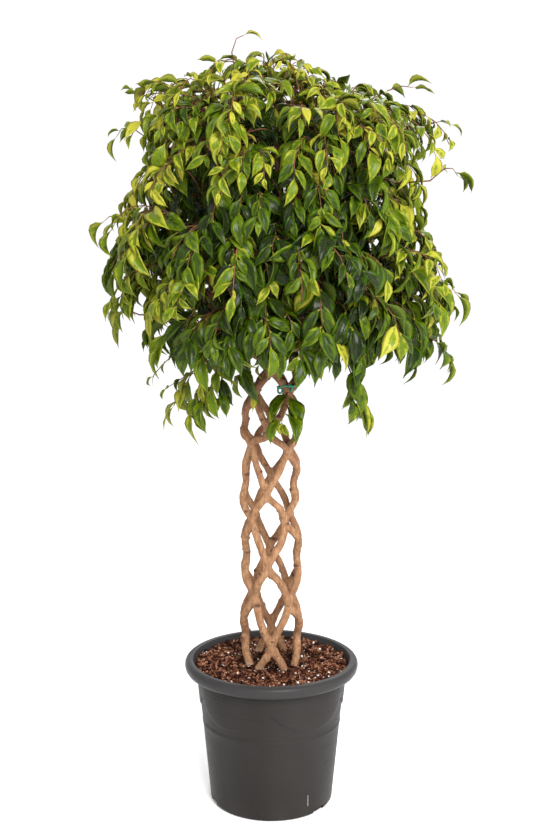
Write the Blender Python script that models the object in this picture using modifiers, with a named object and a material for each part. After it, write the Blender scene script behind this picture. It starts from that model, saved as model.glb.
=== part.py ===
"""Weeping fig, a round-headed standard on a trunk of eight woven stems, in its nursery pot.

Metres, +Z up. The origin is the middle of the pot's foot, and the front of the plant looks along -Y.
Azimuths are measured from the front, and grow towards +X.
"""

import math
import random

import bmesh
import bpy
from mathutils import Matrix, Vector, geometry, noise
from mathutils.bvhtree import BVHTree

GAP = 0.0004
MERGE = 0.00001
FLAT = math.radians(3)
UP = Vector((0.0, 0.0, 1.0))
QUARTER = math.pi / 2

# Pot, turned about Z
POT_HEIGHT = 0.296
RIM_RADIUS = 0.175
RIM_DEPTH = 0.027
RIM_ROUND = 0.010
RIM_EDGE = 0.003
RIM_TUCK = 0.007
RIM_CORNER = 0.001
MOUTH_RADIUS = 0.158
COLLAR_TOP_RADIUS = 0.152
COLLAR_FOOT = 0.206
COLLAR_STEP = 0.0025
SHOULDER_RADIUS = 0.1430
FOOT_RADIUS = 0.1245
FOOT_ROUND = 0.006
POT_WALL = 0.0028
FLOOR = 0.004
POT_STEPS = 36
BAND_HEIGHTS = (0.130,)
BAND_RELIEF = 0.0012
DRAIN_HOLES = 6
DRAIN_RADIUS = 0.007
DRAIN_SIDES = 8
DRAIN_RING = 0.085
SLOT_AZIMUTHS = (50.0, 170.0, 290.0)
SLOT_WIDTH = 0.032
SLOT_HEIGHT = 0.009
SLOT_DEPTH = 0.016

# Soil
SOIL_TOP = 0.279
SOIL_RINGS = (0.036, 0.072, 0.104, 0.134)
SOIL_LUMP = 0.0035
SOIL_LUMP_SIZE = 0.022
HOLE_SIDES = 12
HOLE_DEPTH = 0.09

# Woven stems. A turn is a quarter of the way round, and two stems meet at every half turn.
STEMS = 8
STEP_A_TURN = 4
LATTICE_RADIUS = 0.0562
LATTICE_TAPER = 0.0022
LATTICE_SQUEEZE = 0.0035
FIRST_CROSSING = 0.346
CROSSING_STEP = 0.1675
CROSSING_SHRINK = 0.0215
FIRST_TURN = -0.29
LAST_TURN = 3.9
STEM_FOOT = 0.258
STEM_RADIUS = 0.0088
STEM_TOP_RADIUS = 0.0074
STEM_UNEVEN = 0.10
STEM_WANDER = 0.0024
NOISE_APART = 7.3
NOISE_ALONG = 1.7
WANDER_SEED = 0.5
UNEVEN_SEED = 9.0
SMALL_TURN = 0.02

# Limbs, from the top of the weave to the lower clumps, and leaders to the upper ones
LIMB_TURN = 0.35
LIMB_END_RADIUS = 0.100
LIMB_END_HEIGHT = 0.925
LIMB_CURVE = 1.4
LIMB_THICKNESS = 0.0056
LIMB_POINTS = 4
LEADER_END_RADIUS = 0.070
LEADER_END_HEIGHT = 1.163
TOP_LEADER_END_RADIUS = 0.008
TOP_LEADER_END_HEIGHT = 1.335
LEADER_START = 0.8
LEADER_THICKNESS = 0.0046
LEADER_POINTS = 5

# Clumps of foliage: number, first azimuth in degrees, and the middle's radius and height
LOWER_CLUMPS = (8, 22.5, 0.180, 1.040)
UPPER_CLUMPS = (6, 30.0, 0.150, 1.272)
# Half sizes of a clump outwards, round the head in degrees, and upwards
LOWER_HALF = (0.074, 19.4, 0.122)
UPPER_HALF = (0.078, 25.6, 0.092)
TOP_HALF = (0.080, 0.080, 0.044)
TOP_HEIGHT = 1.405
UPPER_SLOPE = 0.25
FULLNESS = 4
HEAD_SHIFT = 0.014
CLUMP_LUMP = 0.007
CLUMP_LUMP_SIZE = 0.05
PEG_RADIUS = 0.0038
SMALLEST_SEAT = 0.0002
LEAVES = {"lower": 24, "upper": 25, "top": 21}
# Which faces of a core bear leaves, by their look away from the head's axis and upwards
LOOKS_OUT = -0.1
LOOKS_DOWN = -0.45
LOOKS_UP = 0.3
UNDER_NEXT_TIER = 0.75

# Leaves
LEAF_LENGTH = (0.066, 0.086)
LEAF_SHAPE = 0.45
LEAF_FALL = (1.3, 2.1)
LEAF_KEEL = 0.0016
LEAF_STALK = (0.013, 0.022)
STALK_RADIUS = 0.0016
STALK_KNEE = 0.12
LEAF_SHARES = (0.36, 0.72)
LEAF_WIDTHS = (1.0, 0.62)
LEAF_CLEARANCE = 0.0010
LEAF_TRIES = 16
LEAF_SPREAD = 0.34
LEAF_SPREAD_UP = 0.24
LEAF_FACES_UP = 0.9
LEAF_ROLL = 0.35
LEAF_LEAN = 0.25
STEEP = 0.98
SEED = 11

# Shoots that hang or stand out past the clumps
SHOOT_RADIUS = 0.0021
SHOOT_KNOT = 0.0042
SHOOT_SWING = 9.0
# Clump, and the shoot's own points: azimuth in degrees, radius and height
HANGING_SHOOTS = (
    ("lower_clump_1", ((12, 0.135, 0.895), (10, 0.118, 0.862), (14, 0.104, 0.825), (22, 0.096, 0.790))),
    ("lower_clump_2", ((60, 0.222, 0.905), (62, 0.232, 0.872), (61, 0.226, 0.836), (59, 0.216, 0.806))),
    ("lower_clump_7", ((-60, 0.212, 0.900), (-57, 0.216, 0.862), (-53, 0.206, 0.826), (-50, 0.196, 0.798))),
    ("lower_clump_8", ((-38, 0.206, 0.905), (-40, 0.216, 0.872), (-43, 0.214, 0.842), (-45, 0.208, 0.822))),
    ("lower_clump_4", ((150, 0.212, 0.905), (147, 0.220, 0.870), (144, 0.212, 0.838), (142, 0.204, 0.812))),
    ("top_clump", ((-60, 0.030, 1.462), (-72, 0.034, 1.488), (-82, 0.038, 1.512))),
)
# Radii and heights of the shoots that arch out of the lower and upper clumps
ARCHING_SHOOTS = {
    "lower": ((0.262, 1.080), (0.277, 1.064), (0.286, 1.030)),
    "upper": ((0.238, 1.325), (0.254, 1.318), (0.264, 1.290)),
}

# Tie round two of the stems, under the head
TIE_HEIGHT = 0.855
TIE_RADIUS = 0.0012
TIE_STEMS = (1, 2)
TIE_SIDES = 12
TIE_TAIL_RADIUS = 0.0011
TIE_TAIL = ((0.0, 0.0), (0.007, -0.002), (0.011, -0.010), (0.010, -0.017))


def clear_scene():
    """Removes the objects of the startup scene."""
    for obj in list(bpy.data.objects):
        bpy.data.objects.remove(obj, do_unlink=True)


def new_collection(name):
    """A collection in the scene."""
    made = bpy.data.collections.new(name)
    bpy.context.scene.collection.children.link(made)
    return made


def new_material(name, colour, roughness):
    """A plain Principled material."""
    made = bpy.data.materials.new(name)
    made.use_nodes = True
    shader = made.node_tree.nodes["Principled BSDF"]
    shader.inputs["Base Color"].default_value = (*colour, 1.0)
    shader.inputs["Roughness"].default_value = roughness
    shader.inputs["Metallic"].default_value = 0.0
    return made


def around(radius, azimuth, height):
    """The point at a radius, an azimuth in radians and a height."""
    return Vector((radius * math.sin(azimuth), -radius * math.cos(azimuth), height))


def between(low, high, share):
    """A number or a point between two others."""
    return low + (high - low) * share


def new_object(name, mesh, collection, material=None):
    """An object for a mesh or a curve, in its collection and material."""
    obj = bpy.data.objects.new(name, mesh)
    collection.objects.link(obj)
    if material:
        mesh.materials.append(material)
    return obj


def made_mesh(obj, collection, material, flat=0.0):
    """Replaces an object by a mesh object of its evaluated shape, with doubles and flat edges merged."""
    name = obj.name
    bpy.context.view_layer.update()
    graph = bpy.context.evaluated_depsgraph_get()
    mesh = bpy.data.meshes.new_from_object(obj.evaluated_get(graph))
    bm = bmesh.new()
    bm.from_mesh(mesh)
    bmesh.ops.remove_doubles(bm, verts=bm.verts, dist=MERGE)
    if flat:
        bmesh.ops.dissolve_limit(bm, angle_limit=flat, verts=bm.verts, edges=bm.edges)
        bmesh.ops.triangulate(bm, faces=bm.faces)
    bm.to_mesh(mesh)
    bm.free()
    matrix = obj.matrix_world.copy()
    bpy.data.objects.remove(obj, do_unlink=True)
    mesh.materials.clear()
    solid = new_object(name, mesh, collection, material)
    solid.matrix_world = matrix
    return solid


def turned(name, profile, collection, material):
    """A solid of revolution from a half section that runs over its top and down its outer side."""
    mesh = bpy.data.meshes.new(name)
    points = [(radius, 0.0, height) for radius, height in profile]
    mesh.from_pydata(points, [(i, i + 1) for i in range(len(points) - 1)], [])
    obj = new_object(name, mesh, collection, material)
    screw = obj.modifiers.new("Turn", "SCREW")
    screw.steps = POT_STEPS
    screw.render_steps = POT_STEPS
    screw.use_merge_vertices = True
    screw.merge_threshold = MERGE
    return obj


def joined(pieces, collection, material):
    """One mesh object that is the union of overlapping mesh objects, named after the first."""
    group = new_collection("pieces")
    for piece in pieces[1:]:
        collection.objects.unlink(piece)
        group.objects.link(piece)
    union = pieces[0].modifiers.new("Union", "BOOLEAN")
    union.operation = "UNION"
    union.operand_type = "COLLECTION"
    union.collection = group
    union.solver = "EXACT"
    solid = made_mesh(pieces[0], collection, material, FLAT)
    for piece in pieces[1:]:
        bpy.data.objects.remove(piece, do_unlink=True)
    bpy.data.collections.remove(group)
    return solid


def cut(obj, cutter):
    """Takes a cutter, which stays as a wire guide, away from an object."""
    cutter.hide_render = True
    cutter.display_type = "WIRE"
    difference = obj.modifiers.new("Cut " + cutter.name, "BOOLEAN")
    difference.operation = "DIFFERENCE"
    difference.object = cutter
    difference.solver = "EXACT"


def wall_radius(height):
    """The outer radius of the pot's tapered wall, below its collar."""
    return between(FOOT_RADIUS, SHOULDER_RADIUS, (height - FOOT_ROUND) / (COLLAR_FOOT - FOOT_ROUND))


def pot_inside(gap=0.0):
    """The pot's inside from its floor to its mouth, drawn in by a gap."""
    return [
        (wall_radius(FLOOR) - POT_WALL - gap, FLOOR + gap),
        (SHOULDER_RADIUS - POT_WALL - gap, COLLAR_FOOT),
        (COLLAR_TOP_RADIUS - POT_WALL - gap, POT_HEIGHT - RIM_DEPTH),
        (MOUTH_RADIUS - gap, POT_HEIGHT - POT_WALL),
    ]


def pot_profile():
    """The pot's half section, from the middle of its floor over the rim and down to its foot."""
    rim = [(MOUTH_RADIUS + POT_WALL, POT_HEIGHT)]
    for step in range(4):
        angle = QUARTER * (1 - step / 3)
        out = RIM_RADIUS - RIM_ROUND + RIM_ROUND * math.cos(angle)
        rim.append((out, POT_HEIGHT - RIM_ROUND + RIM_ROUND * math.sin(angle)))
    skirt = [
        (RIM_RADIUS - RIM_EDGE, POT_HEIGHT - RIM_DEPTH + RIM_EDGE),
        (RIM_RADIUS - RIM_TUCK, POT_HEIGHT - RIM_DEPTH),
        (COLLAR_TOP_RADIUS, POT_HEIGHT - RIM_DEPTH - RIM_CORNER),
        (SHOULDER_RADIUS + COLLAR_STEP, COLLAR_FOOT + COLLAR_STEP),
        (SHOULDER_RADIUS, COLLAR_FOOT),
    ]
    bands = []
    for height in reversed(BAND_HEIGHTS):
        for step, proud in ((2, 0.0), (0, BAND_RELIEF), (-2, 0.0)):
            bands.append((wall_radius(height) + proud, height + step * BAND_RELIEF))
    foot = [
        (FOOT_RADIUS, FOOT_ROUND),
        (FOOT_RADIUS - FOOT_ROUND / 3, FOOT_ROUND / 3),
        (FOOT_RADIUS - FOOT_ROUND, 0.0),
        (0.0, 0.0),
    ]
    return [(0.0, FLOOR)] + pot_inside() + rim + skirt + bands + foot


def make_pot(collection, cutters, material):
    """The round pot, with drain holes in its floor and slots at its foot."""
    pot = turned("pot", pot_profile(), collection, material)
    bm = bmesh.new()
    for index in range(DRAIN_HOLES):
        centre = around(DRAIN_RING, index * 2 * math.pi / DRAIN_HOLES, FLOOR / 2)
        hole = bmesh.ops.create_cone(
            bm,
            cap_ends=True,
            segments=DRAIN_SIDES,
            radius1=DRAIN_RADIUS,
            radius2=DRAIN_RADIUS,
            depth=4 * FLOOR,
        )
        bmesh.ops.translate(bm, verts=hole["verts"], vec=centre)
    for degrees in SLOT_AZIMUTHS:
        slot = bmesh.ops.create_cube(bm, size=1.0)["verts"]
        turn = Matrix.Rotation(math.radians(degrees), 3, "Z")
        bmesh.ops.scale(bm, verts=slot, vec=(SLOT_WIDTH, SLOT_DEPTH, 2 * SLOT_HEIGHT))
        bmesh.ops.translate(bm, verts=slot, vec=(0.0, -FOOT_RADIUS, 0.0))
        bmesh.ops.rotate(bm, verts=slot, cent=(0.0, 0.0, 0.0), matrix=turn)
    mesh = bpy.data.meshes.new("pot_drainage")
    bm.to_mesh(mesh)
    bm.free()
    cut(pot, new_object("pot_drainage", mesh, cutters))


def make_soil(collection, cutters, material, stems):
    """The potting soil, lumpy on top, with a plain hole round the foot of each stem."""
    side = [point for point in reversed(pot_inside(GAP)) if point[1] < SOIL_TOP - SOIL_LUMP]
    share = (SOIL_TOP - POT_HEIGHT + RIM_DEPTH) / (RIM_DEPTH - POT_WALL)
    edge = between(COLLAR_TOP_RADIUS - POT_WALL, MOUTH_RADIUS, share) - GAP
    top = [(radius, SOIL_TOP) for radius in (0.0, *SOIL_RINGS)]
    profile = top + [(edge - SOIL_LUMP / 2, SOIL_TOP - SOIL_LUMP)] + side + [(0.0, FLOOR + GAP)]
    soil = made_mesh(turned("soil", profile, collection, material), collection, material)
    for vert in soil.data.vertices:
        if vert.co.z > SOIL_TOP - GAP:
            vert.co.z += SOIL_LUMP * noise.noise(vert.co / SOIL_LUMP_SIZE)
    for index, stem in enumerate(stems):
        cut(soil, foot_hole(f"stem_hole_{index + 1}", stem, cutters))


def foot_hole(name, stem, cutters):
    """A straight cutter round the buried foot of a stem, a little wider and deeper than the stem."""
    foot, neck = stem["points"][:2]
    along = (neck - foot).normalized()
    radius = (stem["radii"][0] + GAP) / math.cos(math.pi / HOLE_SIDES)
    bm = bmesh.new()
    bmesh.ops.create_cone(
        bm, cap_ends=True, segments=HOLE_SIDES, radius1=radius, radius2=radius, depth=HOLE_DEPTH
    )
    mesh = bpy.data.meshes.new(name)
    bm.to_mesh(mesh)
    bm.free()
    hole = new_object(name, mesh, cutters)
    hole.location = foot + along * (HOLE_DEPTH / 2 - GAP)
    hole.rotation_mode = "QUATERNION"
    hole.rotation_quaternion = along.to_track_quat("Z", "Y")
    return hole


def turn_height(turn):
    """The height of the weave after so many turns. The crossings come closer together upwards."""
    return FIRST_CROSSING + CROSSING_STEP * turn - CROSSING_SHRINK / 2 * turn * (turn - 1)


def stem_azimuth(stem, turn):
    """Even stems wind one way and odd stems the other, and the pairs stand a quarter apart."""
    way = 1 if stem % 2 == 0 else -1
    return (stem // 2) * QUARTER + way * turn * QUARTER


def turn_at(height):
    """The turns after which the weave reaches a height."""
    rate = CROSSING_STEP + CROSSING_SHRINK / 2
    root = math.sqrt(rate * rate - 2 * CROSSING_SHRINK * (height - FIRST_CROSSING))
    return (rate - root) / CROSSING_SHRINK


def unevenness(stem, turn, seed):
    """Noise that runs along a stem, from -1 to 1."""
    return noise.noise(Vector((stem * NOISE_APART, turn * NOISE_ALONG, seed)))


def lattice_point(stem, turn):
    """A point of a stem in the weave, drawn in a little where it meets another."""
    wander = STEM_WANDER * unevenness(stem, turn, WANDER_SEED)
    radius = LATTICE_RADIUS - LATTICE_TAPER * turn - LATTICE_SQUEEZE * math.cos(4 * math.pi * turn)
    azimuth = stem_azimuth(stem, turn) + wander / LATTICE_RADIUS
    return around(radius + wander, azimuth, turn_height(turn))


def stem_radius(stem, turn):
    """The radius of a stem in the weave, thinner upwards and a little uneven."""
    share = (turn - FIRST_TURN) / (LAST_TURN - FIRST_TURN)
    uneven = 1 + STEM_UNEVEN * unevenness(stem, turn, UNEVEN_SEED)
    return between(STEM_RADIUS, STEM_TOP_RADIUS, share) * uneven


def stem_path(stem):
    """The centreline and radii of one stem, from its buried foot to the end of its limb."""
    steps = range(math.ceil(FIRST_TURN * STEP_A_TURN), math.ceil(LAST_TURN * STEP_A_TURN))
    turns = [FIRST_TURN] + [step / STEP_A_TURN for step in steps] + [LAST_TURN]
    points = [lattice_point(stem, turn) for turn in turns]
    radii = [stem_radius(stem, turn) for turn in turns]
    slope = points[2] - points[0]
    points.insert(0, points[0] - slope * ((points[0].z - STEM_FOOT) / slope.z))
    radii.insert(0, radii[0])
    start = points[-1]
    base = math.hypot(start.x, start.y)
    for step in range(1, LIMB_POINTS + 1):
        share = step / LIMB_POINTS
        azimuth = stem_azimuth(stem, LAST_TURN + LIMB_TURN * share)
        radius = between(base, LIMB_END_RADIUS, share**LIMB_CURVE)
        points.append(around(radius, azimuth, between(start.z, LIMB_END_HEIGHT, share)))
        radii.append(between(STEM_TOP_RADIUS, LIMB_THICKNESS, share))
    return {"points": points, "radii": radii}


def leader_path(stem, azimuth, end_radius, end_height):
    """The centreline and radii of a leader that forks from a stem and rises into the head."""
    start = lattice_point(stem, LAST_TURN)
    base = math.hypot(start.x, start.y)
    first = stem_azimuth(stem, LAST_TURN)
    swing = (azimuth - first + math.pi) % (2 * math.pi) - math.pi
    points, radii = [], []
    for step in range(LEADER_POINTS):
        share = step / (LEADER_POINTS - 1)
        ease = share * share * (3 - 2 * share)
        height = between(start.z, end_height, share)
        points.append(around(between(base, end_radius, ease), first + swing * ease, height))
        radii.append(between(STEM_TOP_RADIUS * LEADER_START, LEADER_THICKNESS, share))
    return {"points": points, "radii": radii}


def leader_paths():
    """A leader for each upper clump, from the nearest free stem, and one for the top."""
    count, first = UPPER_CLUMPS[:2]
    free = list(range(STEMS))
    paths = []
    for index in range(count):
        azimuth = math.radians(first) + index * 2 * math.pi / count
        nearest = max(free, key=lambda stem: math.cos(stem_azimuth(stem, LAST_TURN) - azimuth))
        free.remove(nearest)
        paths.append(leader_path(nearest, azimuth, LEADER_END_RADIUS, LEADER_END_HEIGHT))
    top = free[0]
    azimuth = stem_azimuth(top, LAST_TURN)
    paths.append(leader_path(top, azimuth, TOP_LEADER_END_RADIUS, TOP_LEADER_END_HEIGHT))
    return paths


def tube(name, points, radii, collection, material, closed=False):
    """A mesh tube along a path of points with their radii."""
    curve = bpy.data.curves.new(name, "CURVE")
    curve.dimensions = "3D"
    curve.bevel_depth = 1.0
    curve.bevel_resolution = 1
    curve.use_fill_caps = True
    spline = curve.splines.new("POLY")
    spline.use_cyclic_u = closed
    spline.points.add(len(points) - 1)
    for knot, point, radius in zip(spline.points, points, radii):
        knot.co = (*point, 1.0)
        knot.radius = radius
    return made_mesh(new_object(name, curve, collection), collection, material)


def make_trunk(collection, material, stems, leaders):
    """The eight stems, grown together where they cross, with their limbs and leaders, as one body."""
    pieces = []
    for index, path in enumerate(stems + leaders):
        name = "woven_trunk" if index == 0 else f"stem_{index + 1}"
        pieces.append(tube(name, path["points"], path["radii"], collection, material))
    return joined(pieces, collection, material)


def make_tie(collection, material):
    """The tie round two stems under the head, with its tail."""
    turn = turn_at(TIE_HEIGHT)
    rim = []
    for stem in TIE_STEMS:
        centre = lattice_point(stem, turn)
        along = (lattice_point(stem, turn + SMALL_TURN) - centre).normalized()
        across = Vector((along.x, along.y)).normalized()
        reach = (stem_radius(stem, turn) + TIE_RADIUS + GAP) / math.cos(math.pi / TIE_SIDES)
        for side in range(TIE_SIDES):
            angle = side * 2 * math.pi / TIE_SIDES
            way = Vector((math.cos(angle), math.sin(angle)))
            slant = 1 + (1 / along.z - 1) * abs(way.dot(across))
            rim.append(centre.xy + way * reach * slant)
    loop = [Vector((*rim[i], TIE_HEIGHT)) for i in geometry.convex_hull_2d(rim)]
    ring = tube("plant_tie", loop, [TIE_RADIUS] * len(loop), collection, material, closed=True)
    front = max(loop, key=lambda point: point.x - point.y)
    out = Vector((front.x, front.y, 0.0)).normalized()
    tail = [front + out * step + UP * drop for step, drop in TIE_TAIL]
    end = tube("tie_tail", tail, [TIE_TAIL_RADIUS] * len(tail), collection, material)
    joined([ring, end], collection, material)


def aligned(corners, ring):
    """The ring's points in the order that twists least from the corners of a triangle."""
    middle = sum(corners, Vector()) / 3
    centre = sum(ring, Vector()) / 3
    turns = [ring[k:] + ring[:k] for k in range(3)]

    def match(turn):
        return sum((c - middle).normalized().dot((p - centre).normalized()) for c, p in zip(corners, turn))

    return max(turns, key=match)


def extrude_through(bm, face, rings):
    """Extrudes a triangle through rings of three points, and returns its last face."""
    for ring in rings:
        face = bmesh.ops.extrude_discrete_faces(bm, faces=[face])["faces"][0]
        verts = list(face.verts)
        for vert, point in zip(verts, aligned([vert.co for vert in verts], ring)):
            vert.co = point
    return face


def round_ring(centre, along, radius):
    """Three points round a centre, in a ring that faces along."""
    over = (UP - along * UP.dot(along)).normalized() if abs(along.z) < STEEP else Vector((1.0, 0.0, 0.0))
    side = along.cross(over)
    angles = [QUARTER + step * 2 * math.pi / 3 for step in range(3)]
    return [centre + (over * math.sin(a) - side * math.cos(a)) * radius for a in angles]


def skin(rings):
    """Points and quads of a tube through rings with the same number of points."""
    count = len(rings[0])
    points = [point for ring in rings for point in ring]
    quads = []
    for row in range(len(rings) - 1):
        for column in range(count):
            low, high = row * count, (row + 1) * count
            after = (column + 1) % count
            quads.append((low + column, low + after, high + after, high + column))
    return points, quads


def meets(first, second):
    """Whether two triangles cross, apart from a corner that they share."""
    for mine, theirs in ((first, second), (second, first)):
        for start, end in zip(mine, mine[1:] + mine[:1]):
            if start in theirs or end in theirs:
                continue
            hit = geometry.intersect_ray_tri(*theirs, end - start, start)
            if hit and (hit - start).dot(end - start) >= 0 and (hit - start).length <= (end - start).length:
                return True
    return False


class Leaf:
    """One drooping, pointed leaf that grows from a triangle, which has a normal outwards."""

    def __init__(self, rng, corners, outward, lean):
        length = rng.uniform(*LEAF_LENGTH)
        root = sum(corners, Vector()) / 3
        stalk = rng.uniform(*LEAF_STALK)
        spreads = (LEAF_SPREAD, LEAF_SPREAD, LEAF_SPREAD_UP)
        scatter = Vector([rng.gauss(0, spread) for spread in spreads])
        along = (outward + scatter + lean).normalized()
        fall = rng.uniform(*LEAF_FALL)
        roll = rng.gauss(0, LEAF_ROLL)
        upper = Vector((outward.x, outward.y, LEAF_FACES_UP)).normalized()
        shares = (0.0, *LEAF_SHARES, 1.0)
        self.points = [root + outward * stalk]
        ways = []
        for before, after in zip(shares, shares[1:]):
            way = (along - UP * fall * (before + after)).normalized()
            ways.append(way)
            self.points.append(self.points[-1] + way * length * (after - before))
        widths = [STALK_RADIUS] + [length * LEAF_SHAPE / 2 * width for width in LEAF_WIDTHS]
        keels = [STALK_RADIUS, LEAF_KEEL, LEAF_KEEL]
        self.rings, hull = [], []
        for point, way, half, keel in zip(self.points, ways, widths, keels):
            flat = (upper - way * upper.dot(way)).normalized()
            face = (flat * math.cos(roll) + flat.cross(way) * math.sin(roll)).normalized()
            side = face.cross(way)
            under = -face * keel
            self.rings.append([point + side * half, point - side * half, point + under])
            room = side * (half + LEAF_CLEARANCE)
            over = face * LEAF_CLEARANCE
            hull.append([point + room, point + over, point - room, point + under - over])
        hull.append([self.points[-1]] * 4)
        top = aligned(corners, self.rings[0])
        knee = [between(corner, point, STALK_KNEE) for corner, point in zip(corners, top)]
        self.middle = self.points[1]
        self.sides = [corners] + self.rings
        self.blade = BVHTree.FromPolygons(*skin(hull))
        self.stalk = BVHTree.FromPolygons(*skin([knee, top]))

    def crosses_itself(self):
        """Whether two of its own faces cross."""
        triangles = []
        for low, high in zip(self.sides, self.sides[1:]):
            high = aligned(low, high)
            for k in range(3):
                after = (k + 1) % 3
                triangles.append([low[k], low[after], high[after]])
                triangles.append([low[k], high[after], high[k]])
        last = self.rings[-1]
        triangles += [[last[k], last[(k + 1) % 3], self.points[-1]] for k in range(3)]
        for index, first in enumerate(triangles):
            for second in triangles[index + 1 :]:
                if sum(corner in second for corner in first) < 2 and meets(first, second):
                    return True
        return False

    def crosses(self, other):
        """Whether it crosses another leaf."""
        mine, theirs = (self.blade, self.stalk), (other.blade, other.stalk)
        return any(tree.overlap(part) for tree in mine for part in theirs)


class Head:
    """Keeps every leaf of the head clear of the leaves, clumps and wood that are there already."""

    def __init__(self):
        self.leaves = []
        self.solids = []

    def add_solid(self, bm):
        """Counts a clump or the wood among what leaves stay clear of."""
        self.solids.append(BVHTree.FromBMesh(bm))

    def has_room(self, leaf):
        """Whether a leaf crosses nothing."""
        if any(solid.overlap(part) for solid in self.solids for part in (leaf.blade, leaf.stalk)):
            return False
        reach = 2 * LEAF_LENGTH[1]
        near = (old for old in self.leaves if (old.middle - leaf.middle).length < reach)
        return not any(old.crosses(leaf) for old in near)

    def grow(self, bm, face, rng, lean):
        """Grows a leaf from a face if one of a few tries has room, and says whether it did."""
        outward = face.normal.copy()
        corners = [vert.co.copy() for vert in face.verts]
        for _ in range(LEAF_TRIES):
            leaf = Leaf(rng, corners, outward, lean)
            if self.has_room(leaf) and not leaf.crosses_itself():
                last = extrude_through(bm, face, leaf.rings)
                bmesh.ops.poke(bm, faces=[last])["verts"][0].co = leaf.points[-1]
                self.leaves.append(leaf)
                return True
        return False


class Clump:
    """A clump of foliage: a lumpy core with leaves all over its outside, and its shoots.

    Away from the top, the core is a rounded block that fills its sector of the head.
    """

    def __init__(self, name, azimuth, middle, half):
        self.name = name
        self.tier = name.split("_")[0]
        self.rng = random.Random(f"{name} {SEED}")
        self.seats = []
        self.bm = bmesh.new()
        bmesh.ops.create_icosphere(self.bm, subdivisions=2, radius=1.0)
        out, self.height = middle
        for vert in self.bm.verts:
            unit = vert.co.copy()
            if out:
                unit /= sum(abs(step) ** FULLNESS for step in unit) ** (1 / FULLNESS)
            slope = UPPER_SLOPE * unit.x if self.tier == "upper" and unit.z > 0 else 0.0
            height = self.height + half[2] * unit.z * (1 - slope)
            if out:
                turn = azimuth + half[1] * unit.y
                point = around(out + half[0] * unit.x, turn, height)
                away = around(unit.x, turn, unit.z)
            else:
                point = Vector((half[0] * unit.x, half[1] * unit.y, height))
                away = unit
            vert.co = point + away * CLUMP_LUMP * noise.noise(point / CLUMP_LUMP_SIZE)
            vert.co.x += HEAD_SHIFT
        bmesh.ops.recalc_face_normals(self.bm, faces=self.bm.faces)

    def nearest_face(self, point):
        """The core's face nearest to a point."""
        cores = [face for face in self.bm.faces if len(face.verts) == 3 and face.calc_area() > SMALLEST_SEAT]
        return min(cores, key=lambda face: (face.calc_center_median() - point).length)

    def add_peg(self, end, before):
        """Draws the nearest face of the core out to the end of its limb, face to face with it."""
        along = (end - before).normalized()
        seat = end + along * GAP
        extrude_through(self.bm, self.nearest_face(seat), [round_ring(seat, -along, PEG_RADIUS)])

    def add_shoot(self, route, leaves_a_knot):
        """Draws a face out along a route of points, with seats for leaves on the sides of each point."""
        face = self.nearest_face(route[0])
        for index, point in enumerate(route):
            along = (route[min(index + 1, len(route) - 1)] - route[max(index - 1, 0)]).normalized()
            low = round_ring(point - along * SHOOT_KNOT / 2, along, SHOOT_RADIUS)
            high = round_ring(point + along * SHOOT_KNOT / 2, along, SHOOT_RADIUS)
            face = extrude_through(self.bm, face, [low])
            old = set(self.bm.faces)
            face = extrude_through(self.bm, face, [high])
            sides = [side for side in self.bm.faces if side not in old and len(side.verts) == 4]
            self.seats += self.rng.sample(sides, leaves_a_knot)

    def leafy_faces(self):
        """The faces that look out of the head, in a random order."""
        found = []
        for face in self.bm.faces:
            if len(face.verts) != 3 or face.calc_area() < SMALLEST_SEAT:
                continue
            radial = face.normal.dot(self.away(face))
            rise = face.normal.z
            shown = radial > LOOKS_OUT or rise < LOOKS_DOWN
            if self.tier == "lower":
                shown = shown and rise < UNDER_NEXT_TIER
            elif rise > LOOKS_UP:
                shown = True
            if shown:
                found.append(face)
        self.rng.shuffle(found)
        return found

    @staticmethod
    def away(face):
        """The way from the head's axis to a face."""
        centre = face.calc_center_median()
        return Vector((centre.x, centre.y, 0.0)).normalized()

    def dress(self, head):
        """Grows leaves on the shoots, and then all over the core."""
        for seat in self.seats:
            half = bmesh.ops.triangulate(self.bm, faces=[seat])["faces"][0]
            half.normal_update()
            head.grow(self.bm, half, self.rng, self.away(half) * LEAF_LEAN)
        grown = 0
        for face in self.leafy_faces():
            if grown < LEAVES[self.tier]:
                grown += head.grow(self.bm, face, self.rng, self.away(face) * LEAF_LEAN)

    def finish(self, collection, material):
        """Makes the object."""
        mesh = bpy.data.meshes.new(self.name)
        bmesh.ops.triangulate(self.bm, faces=self.bm.faces)
        self.bm.to_mesh(mesh)
        self.bm.free()
        new_object(self.name, mesh, collection, material)


def route_points(route):
    """The points of a shoot's route of azimuths in degrees, radii and heights."""
    shift = Vector((HEAD_SHIFT, 0.0, 0.0))
    return [around(radius, math.radians(degrees), height) + shift for degrees, radius, height in route]


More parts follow.
